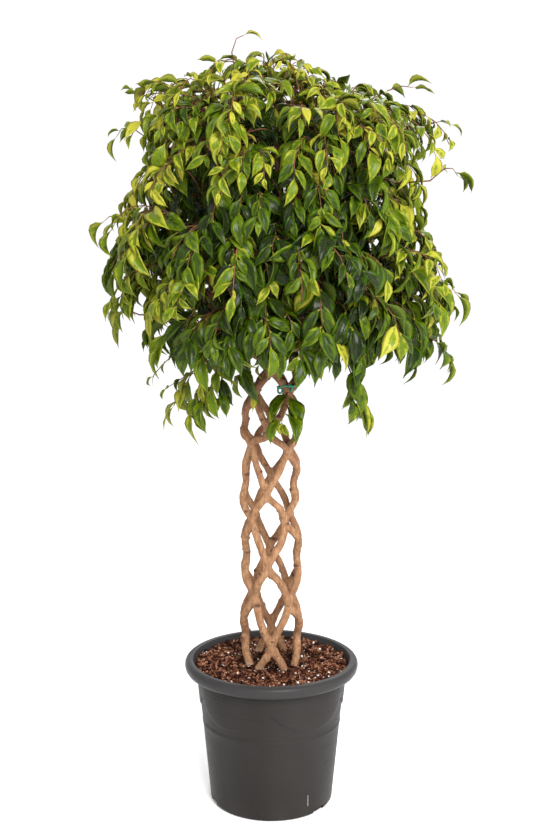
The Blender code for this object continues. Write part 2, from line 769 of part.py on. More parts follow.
def make_head(collection, material, trunk, stems, leaders):
    """The round head: lower clumps on the limbs, upper clumps on the leaders and one on top."""
    clumps = []
    tiers = (("lower", LOWER_CLUMPS, LOWER_HALF, None), ("upper", UPPER_CLUMPS, UPPER_HALF, leaders))
    for tier, (count, first, out, height), (half_out, half_round, half_up), carriers in tiers:
        half = (half_out, math.radians(half_round), half_up)
        for index in range(count):
            azimuth = math.radians(first) + index * 2 * math.pi / count
            clump = Clump(f"{tier}_clump_{index + 1}", azimuth, (out, height), half)
            path = carriers[index] if carriers else nearest_path(stems, azimuth)
            clump.add_peg(path["points"][-1], path["points"][-2])
            degrees = math.degrees(azimuth) + clump.rng.uniform(-SHOOT_SWING, SHOOT_SWING)
            clump.add_shoot(route_points([(degrees, *step) for step in ARCHING_SHOOTS[tier]]), 1)
            clumps.append(clump)
    top = Clump("top_clump", 0.0, (0.0, TOP_HEIGHT), TOP_HALF)
    top.add_peg(leaders[-1]["points"][-1], leaders[-1]["points"][-2])
    clumps.append(top)
    named = {clump.name: clump for clump in clumps}
    for name, route in HANGING_SHOOTS:
        named[name].add_shoot(route_points(route), 2)
    head = Head()
    wood = bmesh.new()
    wood.from_mesh(trunk.data)
    head.add_solid(wood)
    wood.free()
    for clump in clumps:
        clump.bm.normal_update()
        head.add_solid(clump.bm)
    for clump in clumps:
        clump.dress(head)
        clump.finish(collection, material)


def nearest_path(stems, azimuth):
    """The stem whose limb ends nearest to an azimuth."""
    return max(stems, key=lambda path: path["points"][-1].dot(around(1.0, azimuth, 0.0)))


def main():
    """Builds the plant."""
    clear_scene()
    plant = new_collection("weeping_fig")
    cutters = new_collection("cutters")
    plastic = new_material("dark_grey_plastic", (0.052, 0.054, 0.056), 0.55)
    peat = new_material("peat_and_bark", (0.075, 0.032, 0.018), 0.95)
    bark = new_material("fig_bark", (0.42, 0.235, 0.125), 0.8)
    foliage = new_material("fig_leaves", (0.075, 0.17, 0.018), 0.4)
    tie_green = new_material("tie_green", (0.0, 0.19, 0.11), 0.4)
    stems = [stem_path(stem) for stem in range(STEMS)]
    leaders = leader_paths()
    make_pot(plant, cutters, plastic)
    trunk = make_trunk(plant, bark, stems, leaders)
    make_soil(plant, cutters, peat, stems)
    make_tie(plant, tie_green)
    make_head(plant, foliage, trunk, stems, leaders)


main()
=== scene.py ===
"""Looks of a potted weeping fig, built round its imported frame.

The pot, the potting soil, the woven stems, the tie and the leafy head, in metres with +Z up.
Azimuths are measured from the front, which looks along -Y, and grow towards +X.
"""

import itertools
import logging
import math
import random
from dataclasses import dataclass, field, replace
from enum import Enum
from functools import cached_property
from typing import Callable, Iterator, Optional, Sequence, Union

import bmesh
import bpy
from bmesh.types import BMesh, BMFace, BMVert
from bpy.types import Material, Mesh, NodeSocket, Object
from mathutils import Matrix, Quaternion, Vector, geometry, kdtree, noise


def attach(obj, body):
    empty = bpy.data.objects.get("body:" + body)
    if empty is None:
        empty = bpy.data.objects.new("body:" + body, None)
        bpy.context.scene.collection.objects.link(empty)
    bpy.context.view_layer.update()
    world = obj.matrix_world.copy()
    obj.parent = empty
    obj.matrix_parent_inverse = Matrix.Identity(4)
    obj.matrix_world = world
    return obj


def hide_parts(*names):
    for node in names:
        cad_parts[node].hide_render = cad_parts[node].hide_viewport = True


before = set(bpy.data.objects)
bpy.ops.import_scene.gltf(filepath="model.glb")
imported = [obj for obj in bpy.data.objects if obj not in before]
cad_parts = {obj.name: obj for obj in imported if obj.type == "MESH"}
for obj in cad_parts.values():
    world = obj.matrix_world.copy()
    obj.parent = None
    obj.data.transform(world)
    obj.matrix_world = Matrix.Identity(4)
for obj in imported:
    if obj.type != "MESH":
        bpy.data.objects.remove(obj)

LOG = logging.getLogger("weeping_fig")
BODY = "root"
UP = Vector((0.0, 0.0, 1.0))
MIDDLE = (0.0, 0.0, 0.0)
FULL_TURN = 2 * math.pi
QUARTER = math.pi / 2
MERGE = 0.00001
# A way along which points of a turned body hardly ever lie level
ORDER = Vector((0.1234, 0.0571, 1.0))
MILLIMETRES = 1000
# How far the head's middle is to the right of the pot's
HEAD_SHIFT = 0.014
# A leaf's UV map, and how far along it the under side comes after the upper one
BLADE_UV = "blade"
UNDER_OFFSET = 2.0
# A leaf's or a crumb's youth and its own random number, and how near a point of the bark is to a knot
TONE = "tone"
KNOT = "knot"

Pair = tuple[float, float]
Triple = tuple[float, float, float]
Term = Union["Value", float]
Tint = Union["Value", Triple]
Draw = Callable[[random.Random], tuple[Mesh, Vector]]


class Slot(Enum):
    """The record's material slots."""

    POT = "pot_plastic"
    SOIL = "soil"
    BARK = "bark"
    TIE = "tie_plastic"
    LEAF = "leaf"


class Value:
    """A socket in a shader, whose arithmetic adds Math nodes."""

    def __init__(self, shader: "Shader", socket: NodeSocket) -> None:
        """Wraps a socket of a shader's node."""
        self.shader = shader
        self.socket = socket

    def math(self, operation: str, *terms: Term) -> "Value":
        """The result of one Math node."""
        return self.shader.node("ShaderNodeMath", {"operation": operation}, dict(enumerate(terms)))

    def __add__(self, other: Term) -> "Value":
        """Adds."""
        return self.math("ADD", self, other)

    def __radd__(self, other: Term) -> "Value":
        """Adds, with the number on the left."""
        return self.math("ADD", other, self)

    def __sub__(self, other: Term) -> "Value":
        """Subtracts."""
        return self.math("SUBTRACT", self, other)

    def __rsub__(self, other: Term) -> "Value":
        """Subtracts from a number."""
        return self.math("SUBTRACT", other, self)

    def __mul__(self, other: Term) -> "Value":
        """Multiplies."""
        return self.math("MULTIPLY", self, other)

    def __rmul__(self, other: Term) -> "Value":
        """Multiplies, with the number on the left."""
        return self.math("MULTIPLY", other, self)

    def __abs__(self) -> "Value":
        """The size without its sign."""
        return self.math("ABSOLUTE", self)

    def above(self, limit: Term) -> "Value":
        """1 where it is more than a limit, and 0 elsewhere."""
        return self.math("GREATER_THAN", self, limit)

    def wave(self) -> "Value":
        """A triangle wave from 0 to 1 and back, once in each unit."""
        return self.math("PINGPONG", self, 0.5) * 2.0

    def ramp(self, low: float, high: float) -> "Value":
        """Rises smoothly from 0 at low to 1 at high."""
        settings = {"interpolation_type": "SMOOTHSTEP"}
        return self.shader.node("ShaderNodeMapRange", settings, {0: self, 1: low, 2: high})


@dataclass(frozen=True)
class Grain:
    """Noise on a surface: how fine it is, how rich, and how it is squeezed along each axis."""

    scale: float
    detail: float = 3.0
    roughness: float = 0.5
    squeeze: Triple = (1.0, 1.0, 1.0)


@dataclass(frozen=True)
class Layer:
    """A cover that starts at a low value, is whole at a high one, and hides a share of what is under it."""

    low: float
    high: float
    share: float = 1.0

    def mask(self, value: Value) -> Value:
        """How much it covers where a value is so high."""
        return value.ramp(self.low, self.high) * self.share


class Shader:
    """A material's node tree round its Principled shader."""

    def __init__(self, name: str, **constants: float) -> None:
        """Starts a material.

        Args:
            name: The material's name.
            **constants: Values of the shader's own sockets, with _ for a space in their names.
        """
        self.material = bpy.data.materials.new(name)
        self.material.use_nodes = True
        self.tree = self.material.node_tree
        self.surface = self.tree.nodes["Principled BSDF"]
        for socket, value in constants.items():
            self.surface.inputs[socket.replace("_", " ")].default_value = value

    def feed(self, socket: NodeSocket, value: Union[Term, Tint]) -> None:
        """Sets or links one socket.

        Args:
            socket: The input socket.
            value: A number or a colour to set, or a value to link.
        """
        if isinstance(value, Value):
            self.tree.links.new(value.socket, socket)
        elif isinstance(value, tuple) and socket.type == "RGBA":
            socket.default_value = (*value, 1.0)
        else:
            socket.default_value = value

    def node(
        self,
        kind: str,
        settings: Optional[dict] = None,
        inputs: Optional[dict] = None,
        output: Union[int, str] = 0,
    ) -> Value:
        """Adds any node.

        Args:
            kind: The node's type.
            settings: Properties to set first; "stops" gives a ramp's places and colours.
            inputs: Values or links of its sockets, by name or number.
            output: The socket to return.

        Returns:
            The output that was asked for.
        """
        made = self.tree.nodes.new(kind)
        for key, value in (settings or {}).items():
            if key == "stops":
                self._set_stops(made.color_ramp, value)
            else:
                setattr(made, key, value)
        for key, value in (inputs or {}).items():
            self.feed(made.inputs[key], value)
        return Value(self, made.outputs[output])

    @staticmethod
    def _set_stops(ramp: bpy.types.ColorRamp, stops: Sequence[tuple[float, Triple]]) -> None:
        """Gives a ramp its stops.

        Args:
            ramp: The ramp.
            stops: The place and the colour of each stop.
        """
        while len(ramp.elements) < len(stops):
            ramp.elements.new(1.0)
        for element, (place, colour) in zip(ramp.elements, stops):
            element.position = place
            element.color = (*colour, 1.0)

    def parts(self, vector: Value) -> list[Value]:
        """The three numbers of a vector."""
        first = self.node("ShaderNodeSeparateXYZ", inputs={0: vector})
        return [Value(self, output) for output in first.socket.node.outputs]

    def vector(self, x: Term, y: Term, z: Term) -> Value:
        """A vector of three numbers."""
        return self.node("ShaderNodeCombineXYZ", inputs={0: x, 1: y, 2: z})

    def place(self) -> Value:
        """The place on the object, in metres."""
        return self.node("ShaderNodeTexCoord", output="Object")

    def noise(self, vector: Value, scale: float, detail: float, roughness: float = 0.5) -> Value:
        """Noise round a half."""
        inputs = {"Vector": vector, "Scale": scale, "Detail": detail, "Roughness": roughness}
        return self.node("ShaderNodeTexNoise", inputs=inputs)

    def grain(self, grain: Grain) -> Value:
        """The noise of a grain, by the place on the object.

        Args:
            grain: The grain.

        Returns:
            Noise round a half.
        """
        inputs = {0: self.place(), 1: grain.squeeze}
        spot = self.node("ShaderNodeVectorMath", {"operation": "MULTIPLY"}, inputs)
        return self.noise(spot, grain.scale, grain.detail, grain.roughness)

    def mix(self, share: Term, low: Tint, high: Tint, blend: str = "MIX") -> Value:
        """A colour between two colours."""
        settings = {"data_type": "RGBA", "blend_type": blend}
        return self.node("ShaderNodeMix", settings, {0: share, 6: low, 7: high}, 2)

    def cover(self, colour: Tint, tint: Tint, value: Value, layer: Layer) -> Value:
        """A colour with a tint laid over it where a value is high."""
        return self.mix(layer.mask(value), colour, tint)

    def colours(self, share: Value, *stops: tuple[float, Triple]) -> Value:
        """A colour from a ramp."""
        return self.node("ShaderNodeValToRGB", {"stops": stops}, {0: share})

    def attribute(self, name: str, output: str = "Fac") -> Value:
        """An attribute of the mesh."""
        return self.node("ShaderNodeAttribute", {"attribute_name": name}, output=output)

    def finish(
        self, colour: Tint, roughness: Term, relief: Optional[Value] = None, depth: float = 0.001
    ) -> Material:
        """Feeds the shader and returns its material.

        Args:
            colour: The base colour.
            roughness: The roughness.
            relief: The height of the bump, from 0 to 1, if it has one.
            depth: The bump's depth in metres.

        Returns:
            The material.
        """
        self.feed(self.surface.inputs["Base Color"], colour)
        self.feed(self.surface.inputs["Roughness"], roughness)
        if relief:
            bump = self.node("ShaderNodeBump", inputs={"Height": relief, "Distance": depth})
            self.feed(self.surface.inputs["Normal"], bump)
        return self.material


@dataclass(frozen=True)
class LeafFinish:
    """A variegated leaf: a dark middle in an uneven paler margin, which is wider the younger the leaf is."""

    old_middle: Triple = (0.009, 0.016, 0.004)
    young_middle: Triple = (0.050, 0.105, 0.004)
    old_body: Triple = (0.024, 0.060, 0.001)
    young_body: Triple = (0.132, 0.188, 0.003)
    old_margin: Triple = (0.082, 0.150, 0.003)
    young_margin: Triple = (0.310, 0.295, 0.026)
    under: Triple = (0.075, 0.105, 0.012)
    stalk: Triple = (0.220, 0.190, 0.028)
    streak_shade: Triple = (0.02, 0.05, 0.01)
    # How often patches and streaks change across and along the blade, and how far apart leaves' draws lie
    patches: Pair = (2.6, 4.6)
    streaks: Pair = (2.5, 16.0)
    detail: float = 2.0
    apart: float = 41.0
    veins: float = 13.0
    vein_slant: float = 0.24
    vein_width: Pair = (0.05, 0.35)
    rib_width: Pair = (0.02, 0.10)
    stalk_end: Pair = (-0.01, 0.01)
    # What draws the margin in: the edge, the distance from the widest place, a patch, a streak and youth
    widest: float = 0.45
    edge_pull: float = 0.8
    end_pull: float = 0.5
    patch_pull: float = 1.5
    streak_pull: float = 0.7
    youth_pull: float = 1.25
    body: Layer = Layer(0.56, 0.80)
    margin: Layer = Layer(1.12, 1.30)
    yellowing: Layer = Layer(0.0, 0.85)
    streaking: Layer = Layer(0.35, 0.8, 0.25)
    rib_share: Pair = (0.08, 0.25)
    rib_mix: float = 0.5
    vein_share: float = 0.07
    under_share: float = 0.55
    # The roughness of an old leaf, and what youth, the under side and a patch add
    gloss: tuple[float, float, float, float] = (0.22, 0.14, 0.30, 0.1)
    # How much the rib and the veins lower the relief, and a patch raises it
    relief: Triple = (0.25, 0.08, 0.5)
    depth: float = 0.0006

    def build(self) -> Material:
        """Makes the material.

        Returns:
            The material.
        """
        shader = Shader("variegated_leaf", Specular_IOR_Level=0.14)
        across, along, _ = shader.parts(shader.node("ShaderNodeUVMap", {"uv_map": BLADE_UV}))
        youth, draw, _ = shader.parts(shader.attribute(TONE, "Color"))
        below = along.above(UNDER_OFFSET - 0.5)
        along = along - below * UNDER_OFFSET
        edge = abs(across - 0.5) * 2.0
        slant = along - edge * self.vein_slant
        patch, streak = [
            shader.noise(shader.vector(across * wide, slant * long, draw * self.apart), 1.0, self.detail)
            for wide, long in (self.patches, self.streaks)
        ]
        reach = edge * self.edge_pull + abs(along - self.widest) * self.end_pull
        reach = reach + (patch - 0.5) * self.patch_pull + (streak - 0.5) * self.streak_pull
        reach = reach + youth * self.youth_pull
        middle = shader.mix(youth, self.old_middle, self.young_middle)
        body = shader.mix(youth, self.old_body, self.young_body)
        pale = shader.cover(self.old_margin, self.young_margin, youth, self.yellowing)
        blade = shader.cover(middle, body, reach, self.body)
        blade = shader.cover(blade, pale, reach, self.margin)
        blade = shader.mix(self.streaking.mask(streak), blade, self.streak_shade, "SUBTRACT")
        rib = 1.0 - edge.ramp(*self.rib_width)
        vein = 1.0 - (slant * self.veins).wave().ramp(*self.vein_width)
        old_rib, young_rib = self.rib_share
        rib_colour = shader.mix(self.rib_mix, pale, self.stalk)
        blade = shader.mix(rib * (old_rib + youth * young_rib), blade, rib_colour)
        blade = shader.mix(vein * self.vein_share, blade, pale)
        colour = shader.mix(below, blade, shader.mix(self.under_share, blade, self.under))
        colour = shader.mix(1.0 - along.ramp(*self.stalk_end), colour, self.stalk)
        old, young, beneath, patchy = self.gloss
        gloss = old + youth * young + below * beneath + (patch - 0.5) * patchy
        rib_depth, vein_depth, patch_height = self.relief
        relief = 1.0 - rib * rib_depth - vein * vein_depth + patch * patch_height
        return shader.finish(colour, gloss, relief, self.depth)


@dataclass(frozen=True)
class BarkFinish:
    """Smooth fig bark: ochre below, redder and darker under the head, partly its own bark and partly painted
    shade, pale at the soil, dark at its knots.
    """

    foot: Triple = (0.520, 0.380, 0.275)
    low: Triple = (0.180, 0.086, 0.041)
    light: Triple = (0.340, 0.185, 0.094)
    high: Triple = (0.185, 0.080, 0.043)
    scar: Triple = (0.045, 0.017, 0.014)
    streaks: Grain = Grain(210.0, 4.0, 0.6, (1.0, 1.0, 0.22))
    blotches: Grain = Grain(26.0)
    specks: Grain = Grain(330.0, 1.0, squeeze=(1.0, 1.0, 2.6))
    cracks: Grain = Grain(120.0, 2.0, squeeze=(1.0, 1.0, 5.0))
    lit: Layer = Layer(0.30, 0.72)
    # By height, which blotches sway: redder and darker towards the head, partly as painted shade under it
    redder_and_shaded: Layer = Layer(0.80, 1.19)
    red_shade_sway: float = 0.25
    soil_line: Pair = (0.296, 0.316)
    soil_sway: float = 0.03
    soil_share: float = 0.6
    blotched: Layer = Layer(0.48, 0.70, 0.50)
    speckled: Layer = Layer(0.66, 0.74, 0.25)
    cracked: Layer = Layer(0.62, 0.74, 0.40)
    knotted: Layer = Layer(0.30, 0.85, 0.80)
    knot_fray: float = 1.1
    streak_relief: float = 0.5
    speck_relief: float = 0.25
    crack_relief: Layer = Layer(0.60, 0.74, 0.4)
    knot_relief: float = 0.2
    roughness: Pair = (0.62, 0.2)
    depth: float = 0.0016

    def build(self) -> Material:
        """Makes the material.

        Returns:
            The material.
        """
        shader = Shader("fig_bark", Specular_IOR_Level=0.2)
        height = shader.parts(shader.place())[2]
        streak = shader.grain(self.streaks)
        blotch = shader.grain(self.blotches)
        speck = shader.grain(self.specks)
        crack = shader.grain(self.cracks)
        knot = shader.attribute(KNOT)
        wood = shader.cover(self.low, self.light, streak, self.lit)
        # Painted shade with a redder bark: darker red towards the head above
        wood = shader.cover(wood, self.high, height + blotch * self.red_shade_sway, self.redder_and_shaded)
        wood = shader.cover(wood, self.high, blotch, self.blotched)
        pale = 1.0 - (height + blotch * self.soil_sway).ramp(*self.soil_line)
        wood = shader.mix(pale * self.soil_share, wood, self.foot)
        wood = shader.cover(wood, self.foot, speck, self.speckled)
        wood = shader.cover(wood, self.scar, crack, self.cracked)
        wood = shader.cover(wood, self.scar, knot + (streak - 0.5) * self.knot_fray, self.knotted)
        relief = streak * self.streak_relief + speck * self.speck_relief
        relief = relief - self.crack_relief.mask(crack) - knot * self.knot_relief
        smooth, rough = self.roughness
        return shader.finish(wood, smooth + streak * rough, relief, self.depth)


@dataclass(frozen=True)
class PotFinish:
    """Dull dark grey moulded plastic with a fine grain, dust and a few scuffs, a painted sheen on the rim and
    a painted highlight near the foot.
    """

    dark: Triple = (0.0186, 0.0163, 0.0152)
    light: Triple = (0.0248, 0.0226, 0.0213)
    # Lighter, bluer grey over the rim's heights: a painted sheen of the light on the rolled rim
    rim: Triple = (0.0355, 0.0345, 0.0346)
    dust: Triple = (0.105, 0.086, 0.072)
    # A thin near-white line up the front near the foot: a painted highlight of an edge there
    painted_glint: Triple = (0.520, 0.510, 0.500)
    clouds: Grain = Grain(9.0, 4.0, squeeze=(1.0, 1.0, 0.5))
    grain: Grain = Grain(1500.0, 2.0)
    scuffs: Grain = Grain(34.0, 5.0, 0.65, (1.0, 1.0, 8.0))
    lit: Layer = Layer(0.3, 0.75)
    rim_sheen_heights: Layer = Layer(0.262, 0.280, 0.7)
    scuffed: Layer = Layer(0.60, 0.82, 0.30)
    dust_heights: Pair = (0.0, 0.05)
    dust_clouds: Pair = (0.35, 0.75)
    dust_share: float = 0.14
    ring_heights: tuple[float, ...] = (0.2630, 0.2560, 0.2490, 0.2200, 0.1745)
    ring_half: float = 0.0011
    ring_relief: float = 0.5
    # Where the painted highlight's line runs, how it fades at its ends and wavers, its width and its strength
    glint_x: float = 0.072
    glint_low: float = 0.022
    glint_high: float = 0.049
    glint_fade: float = 0.004
    glint_sway: float = 0.002
    glint_width: Pair = (0.0001, 0.0007)
    glint_share: float = 0.8
    pip_x: float = -0.009
    pip_height: float = 0.045
    pip_radius: float = 0.0028
    grain_relief: float = 0.12
    cloud_relief: float = 0.2
    roughness: float = 0.44
    rim_gloss: Layer = Layer(0.262, 0.280, 0.12)
    scuff_roughness: Layer = Layer(0.45, 0.8, 0.20)
    grain_roughness: float = 0.06
    depth: float = 0.0010

    def build(self) -> Material:
        """Makes the material.

        Returns:
            The material.
        """
        shader = Shader("pot_plastic", Specular_IOR_Level=0.10)
        x, y, height = shader.parts(shader.place())
        cloud = shader.grain(self.clouds)
        grain = shader.grain(self.grain)
        scuff = shader.grain(self.scuffs)
        front = 1.0 - y.above(0.0)
        colour = shader.cover(self.dark, self.light, cloud, self.lit)
        # Painted sheen: the rim lighter and bluer where the light falls on its roll
        colour = shader.cover(colour, self.rim, height, self.rim_sheen_heights)
        colour = shader.cover(colour, self.dust, scuff, self.scuffed)
        low_dust = (1.0 - height.ramp(*self.dust_heights)) * cloud.ramp(*self.dust_clouds)
        colour = shader.mix(low_dust * self.dust_share, colour, self.dust)
        # Painted highlight: a thin pale line up the front near the foot
        away = abs(x - self.glint_x + (grain - 0.5) * self.glint_sway)
        line = 1.0 - away.ramp(*self.glint_width)
        span = height.ramp(self.glint_low, self.glint_low + self.glint_fade)
        span = span * (1.0 - height.ramp(self.glint_high - self.glint_fade, self.glint_high))
        colour = shader.mix(line * span * front * self.glint_share, colour, self.painted_glint)
        relief = grain * self.grain_relief + cloud * self.cloud_relief
        for ring in self.ring_heights:
            relief = relief - (1.0 - abs(height - ring).ramp(0.0, self.ring_half)) * self.ring_relief
        away = abs(x - self.pip_x) + abs(height - self.pip_height)
        relief = relief + (1.0 - away.ramp(self.pip_radius / 2, self.pip_radius)) * front
        gloss = self.roughness - self.rim_gloss.mask(height) + self.scuff_roughness.mask(scuff)
        gloss = gloss + (grain - 0.5) * self.grain_roughness
        return shader.finish(colour, gloss, relief, self.depth)


@dataclass(frozen=True)
class SoilFinish:
    """Damp peat and bark mix, near black in the hollows of its relief: partly damp peat, partly painted
    shade.
    """

    # Near black in the hollows of the relief, where the clods are low: partly damp peat, partly painted shade
    deep: Triple = (0.004, 0.0015, 0.001)
    peat: Triple = (0.030, 0.010, 0.006)
    bark: Triple = (0.150, 0.062, 0.030)
    clods: Grain = Grain(120.0, 5.0, 0.7)
    fibres: Grain = Grain(260.0, squeeze=(1.0, 3.0, 1.0))
    crumb_scale: float = 210.0
    peat_over_shade: Layer = Layer(0.32, 0.6)
    fibrous: Layer = Layer(0.55, 0.75, 0.8)
    clod_relief: float = 0.7
    crumb_relief: float = 0.3
    roughness: float = 0.85
    depth: float = 0.003

    def build(self) -> Material:
        """Makes the material.

        Returns:
            The material.
        """
        shader = Shader("potting_soil", Specular_IOR_Level=0.02)
        inputs = {"Vector": shader.place(), "Scale": self.crumb_scale}
        crumbs = shader.node("ShaderNodeTexVoronoi", inputs=inputs)
        clods = shader.grain(self.clods)
        # Painted shade: the near-black colour fills the hollows, as the same clods noise lowers the relief
        # there
        colour = shader.cover(self.deep, self.peat, clods, self.peat_over_shade)
        colour = shader.cover(colour, self.bark, shader.grain(self.fibres), self.fibrous)
        relief = clods * self.clod_relief + (1.0 - crumbs) * self.crumb_relief
        return shader.finish(colour, self.roughness, relief, self.depth)


@dataclass(frozen=True)
class CrumbFinish:
    """Bits of bark and coir, each in its own brown, darker in the middle of the pot as painted shade."""

    dark: Triple = (0.006, 0.002, 0.0015)
    red: Triple = (0.138, 0.047, 0.026)
    straw: Triple = (0.450, 0.210, 0.115)
    stops: Triple = (0.10, 0.62, 1.0)
    grain: Grain = Grain(700.0, squeeze=(1.0, 1.0, 3.0))
    grained: Layer = Layer(0.3, 0.7, 0.5)
    # Painted shade: the crumbs darken towards the pot's middle, under the head, within this radius and by
    # this share
    shade_radius: float = 0.09
    shade_share: float = 0.62
    roughness: Pair = (0.55, 0.3)
    depth: float = 0.0008

    def build(self) -> Material:
        """Makes the material.

        Returns:
            The material.
        """
        shader = Shader("bark_crumbs", Specular_IOR_Level=0.04)
        draw = shader.parts(shader.attribute(TONE, "Color"))[1]
        grain = shader.grain(self.grain)
        x, y, _ = shader.parts(shader.place())
        # Painted shade darkens the crumbs in the middle of the pot
        unshaded = (x * x + y * y).ramp(0.0, self.shade_radius * self.shade_radius)
        colour = shader.colours(draw, *zip(self.stops, (self.dark, self.red, self.straw)))
        colour = shader.cover(colour, self.dark, grain, self.grained)
        colour = shader.mix(self.shade_share - unshaded * self.shade_share, colour, self.dark)
        smooth, rough = self.roughness
        return shader.finish(colour, smooth + grain * rough, grain, self.depth)


@dataclass(frozen=True)
class MixedFinish:
    """Two colours that a noise mixes, with a fine relief and, if it is uneven, a roughness that varies."""

    name: str
    low: Triple
    high: Triple
    mixing: Grain
    layer: Layer
    relief: Grain
    roughness: float
    uneven: float = 0.0
    depth: float = 0.0002
    specular: float = 0.5
    coat: float = 0.0

    def build(self) -> Material:
        """Makes the material.

        Returns:
            The material.
        """
        shader = Shader(self.name, Specular_IOR_Level=self.specular, Coat_Weight=self.coat)
        mixing = shader.grain(self.mixing)
        roughness = self.roughness + mixing * self.uneven if self.uneven else self.roughness
        colour = shader.cover(self.low, self.high, mixing, self.layer)
        return shader.finish(colour, roughness, shader.grain(self.relief), self.depth)


# Young red-brown bark, dark and light
TWIG_BARK = MixedFinish(
    "twig_bark", (0.055, 0.021, 0.012), (0.205, 0.082, 0.042),
    Grain(60.0), Layer(0.3, 0.7), Grain(900.0, 1.0), 0.65, specular=0.2,
)
# White perlite, clean and a little soiled
PERLITE = MixedFinish(
    "perlite", (0.78, 0.75, 0.70), (0.42, 0.32, 0.25),
    Grain(150.0, 2.0), Layer(0.45, 0.7), Grain(800.0), 0.9, depth=0.0008,
)
# Green soft plastic over a wire, fresh and worn
TIE_PLASTIC = MixedFinish(
    "tie_plastic", (0.002, 0.180, 0.095), (0.012, 0.290, 0.165),
    Grain(220.0), Layer(0.4, 0.7), Grain(220.0), 0.38, uneven=0.1, coat=0.2,
)


@dataclass(frozen=True)
class FloorFinish:
    """Pale studio floor."""

    colour: Triple = (0.985, 0.985, 0.985)

    def build(self) -> Material:
        """Makes the material."""
        return Shader("studio_floor", Specular_IOR_Level=0.0).finish(self.colour, 1.0)


@dataclass
class Route:
    """A line of points with the radius of a round stem at each."""

    points: list[Vector]
    radii: list[float]

    def walk(self, start: float, rng: random.Random, step: Pair) -> Iterator[tuple[Vector, Vector, float]]:
        """Goes along the line in uneven steps.

        Args:
            start: The distance of the first stop.
            rng: The random draw.
            step: The least and the greatest step.

        Yields:
            The point, the way on, and the share of the whole length.
        """
        rows = list(zip(self.points, self.points[1:]))
        lengths = [(high - low).length for low, high in rows]
        whole = sum(lengths)
        aim, done = start, 0.0
        for (low, high), length in zip(rows, lengths):
            while aim <= done + length:
                yield low.lerp(high, (aim - done) / length), (high - low).normalized(), aim / whole
                aim += rng.uniform(*step)
            done += length


def even(points: list[Vector], radius: float) -> Route:
    """A route of one thickness."""
    return Route(points, [radius] * len(points))


def tapered(points: list[Vector], ends: Pair) -> Route:
    """A route whose radius goes evenly from one end's to the other's."""
    return Route(points, [between(*ends, share) for share in shares(len(points) - 1)])


def around(radius: float, azimuth: float, height: float) -> Vector:
    """The point at a radius, an azimuth in radians and a height."""
    return Vector((radius * math.sin(azimuth), -radius * math.cos(azimuth), height))


def between(low: float, high: float, share: float) -> float:
    """A number between two others."""
    return low + (high - low) * share


def shares(steps: int) -> list[float]:
    """Even shares from 0 to 1."""
    return [step / steps for step in range(steps + 1)]


def azimuths(count: int, first: float = 0.0) -> list[float]:
    """Even azimuths all the way round, in radians."""
    return [first + index * FULL_TURN / count for index in range(count)]


def eased(number: float, low: float, high: float) -> float:
    """Rises smoothly from 0 at low to 1 at high."""
    share = min(1.0, max(0.0, (number - low) / (high - low)))
    return share * share * (3 - 2 * share)


def bell(distance: float) -> float:
    """Falls smoothly from 1 at no distance."""
    return math.exp(-(distance**2))


def bare_object(name: str, data: bpy.types.ID) -> Object:
    """Puts an object in the scene.

    Args:
        name: Its name.
        data: Its mesh, curve, lamp or camera.

    Returns:
        The object.
    """
    obj = bpy.data.objects.new(name, data)
    bpy.context.scene.collection.objects.link(obj)
    return obj


def mesh_of(bm: BMesh, name: str) -> Mesh:
    """Makes a mesh of a bmesh, which is freed.

    Args:
        bm: The bmesh.
        name: The mesh's name.

    Returns:
        The mesh.
    """
    mesh = bpy.data.meshes.new(name)
    bm.to_mesh(mesh)
    bm.free()
    return mesh


def turned(profile: Sequence[Pair], steps: int) -> BMesh:
    """Turns a half section right round the upright axis.

    Args:
        profile: The radius and height of its points, from the axis and back to it.
        steps: The number of steps round.

    Returns:
        The closed body, with its faces outwards.
    """
    bm = bmesh.new()
    rows = [bm.verts.new((radius, 0.0, height)) for radius, height in profile]
    edges = [bm.edges.new(pair) for pair in zip(rows, rows[1:])]
    bmesh.ops.spin(bm, geom=rows + edges, axis=UP, cent=MIDDLE, angle=FULL_TURN, steps=steps, use_merge=True)
    bmesh.ops.remove_doubles(bm, verts=bm.verts, dist=MERGE)
    bmesh.ops.recalc_face_normals(bm, faces=bm.faces)
    # Merging leaves them in an order that changes from run to run
    bm.verts.sort(key=lambda vert: vert.co.dot(ORDER))
    bm.faces.sort(key=lambda face: face.calc_center_median().dot(ORDER))
    return bm


def arc(centre: Pair, radius: float, end: float, steps: int) -> list[Pair]:
    """Points on a round corner of a half section, from its outermost one to an angle above or below it."""
    turns = [end * share for share in shares(steps)]
    return [(centre[0] + radius * math.cos(turn), centre[1] + radius * math.sin(turn)) for turn in turns]


def settled(obj: Object) -> Mesh:
    """Takes an object away and keeps its shape, with its modifiers applied.

    Args:
        obj: The object.

    Returns:
        A mesh of its shape.
    """
    bpy.context.view_layer.update()
    graph = bpy.context.evaluated_depsgraph_get()
    mesh = bpy.data.meshes.new_from_object(obj.evaluated_get(graph))
    bpy.data.objects.remove(obj, do_unlink=True)
    return mesh


def toned(mesh: Mesh, matrix: Matrix, youth: float, draw: float) -> Mesh:
    """Moves a small form into place and gives its points their tone.

    Args:
        mesh: The form.
        matrix: Its place, turn and size.
        youth: Its youth from 0 to 1.
        draw: Its own random number from 0 to 1.

    Returns:
        The same form.
    """
    mesh.transform(matrix)
    tones = mesh.attributes.new(TONE, "FLOAT_COLOR", "POINT")
    tones.data.foreach_set("color", (youth, draw, 0.0, 1.0) * len(mesh.vertices))
    return mesh


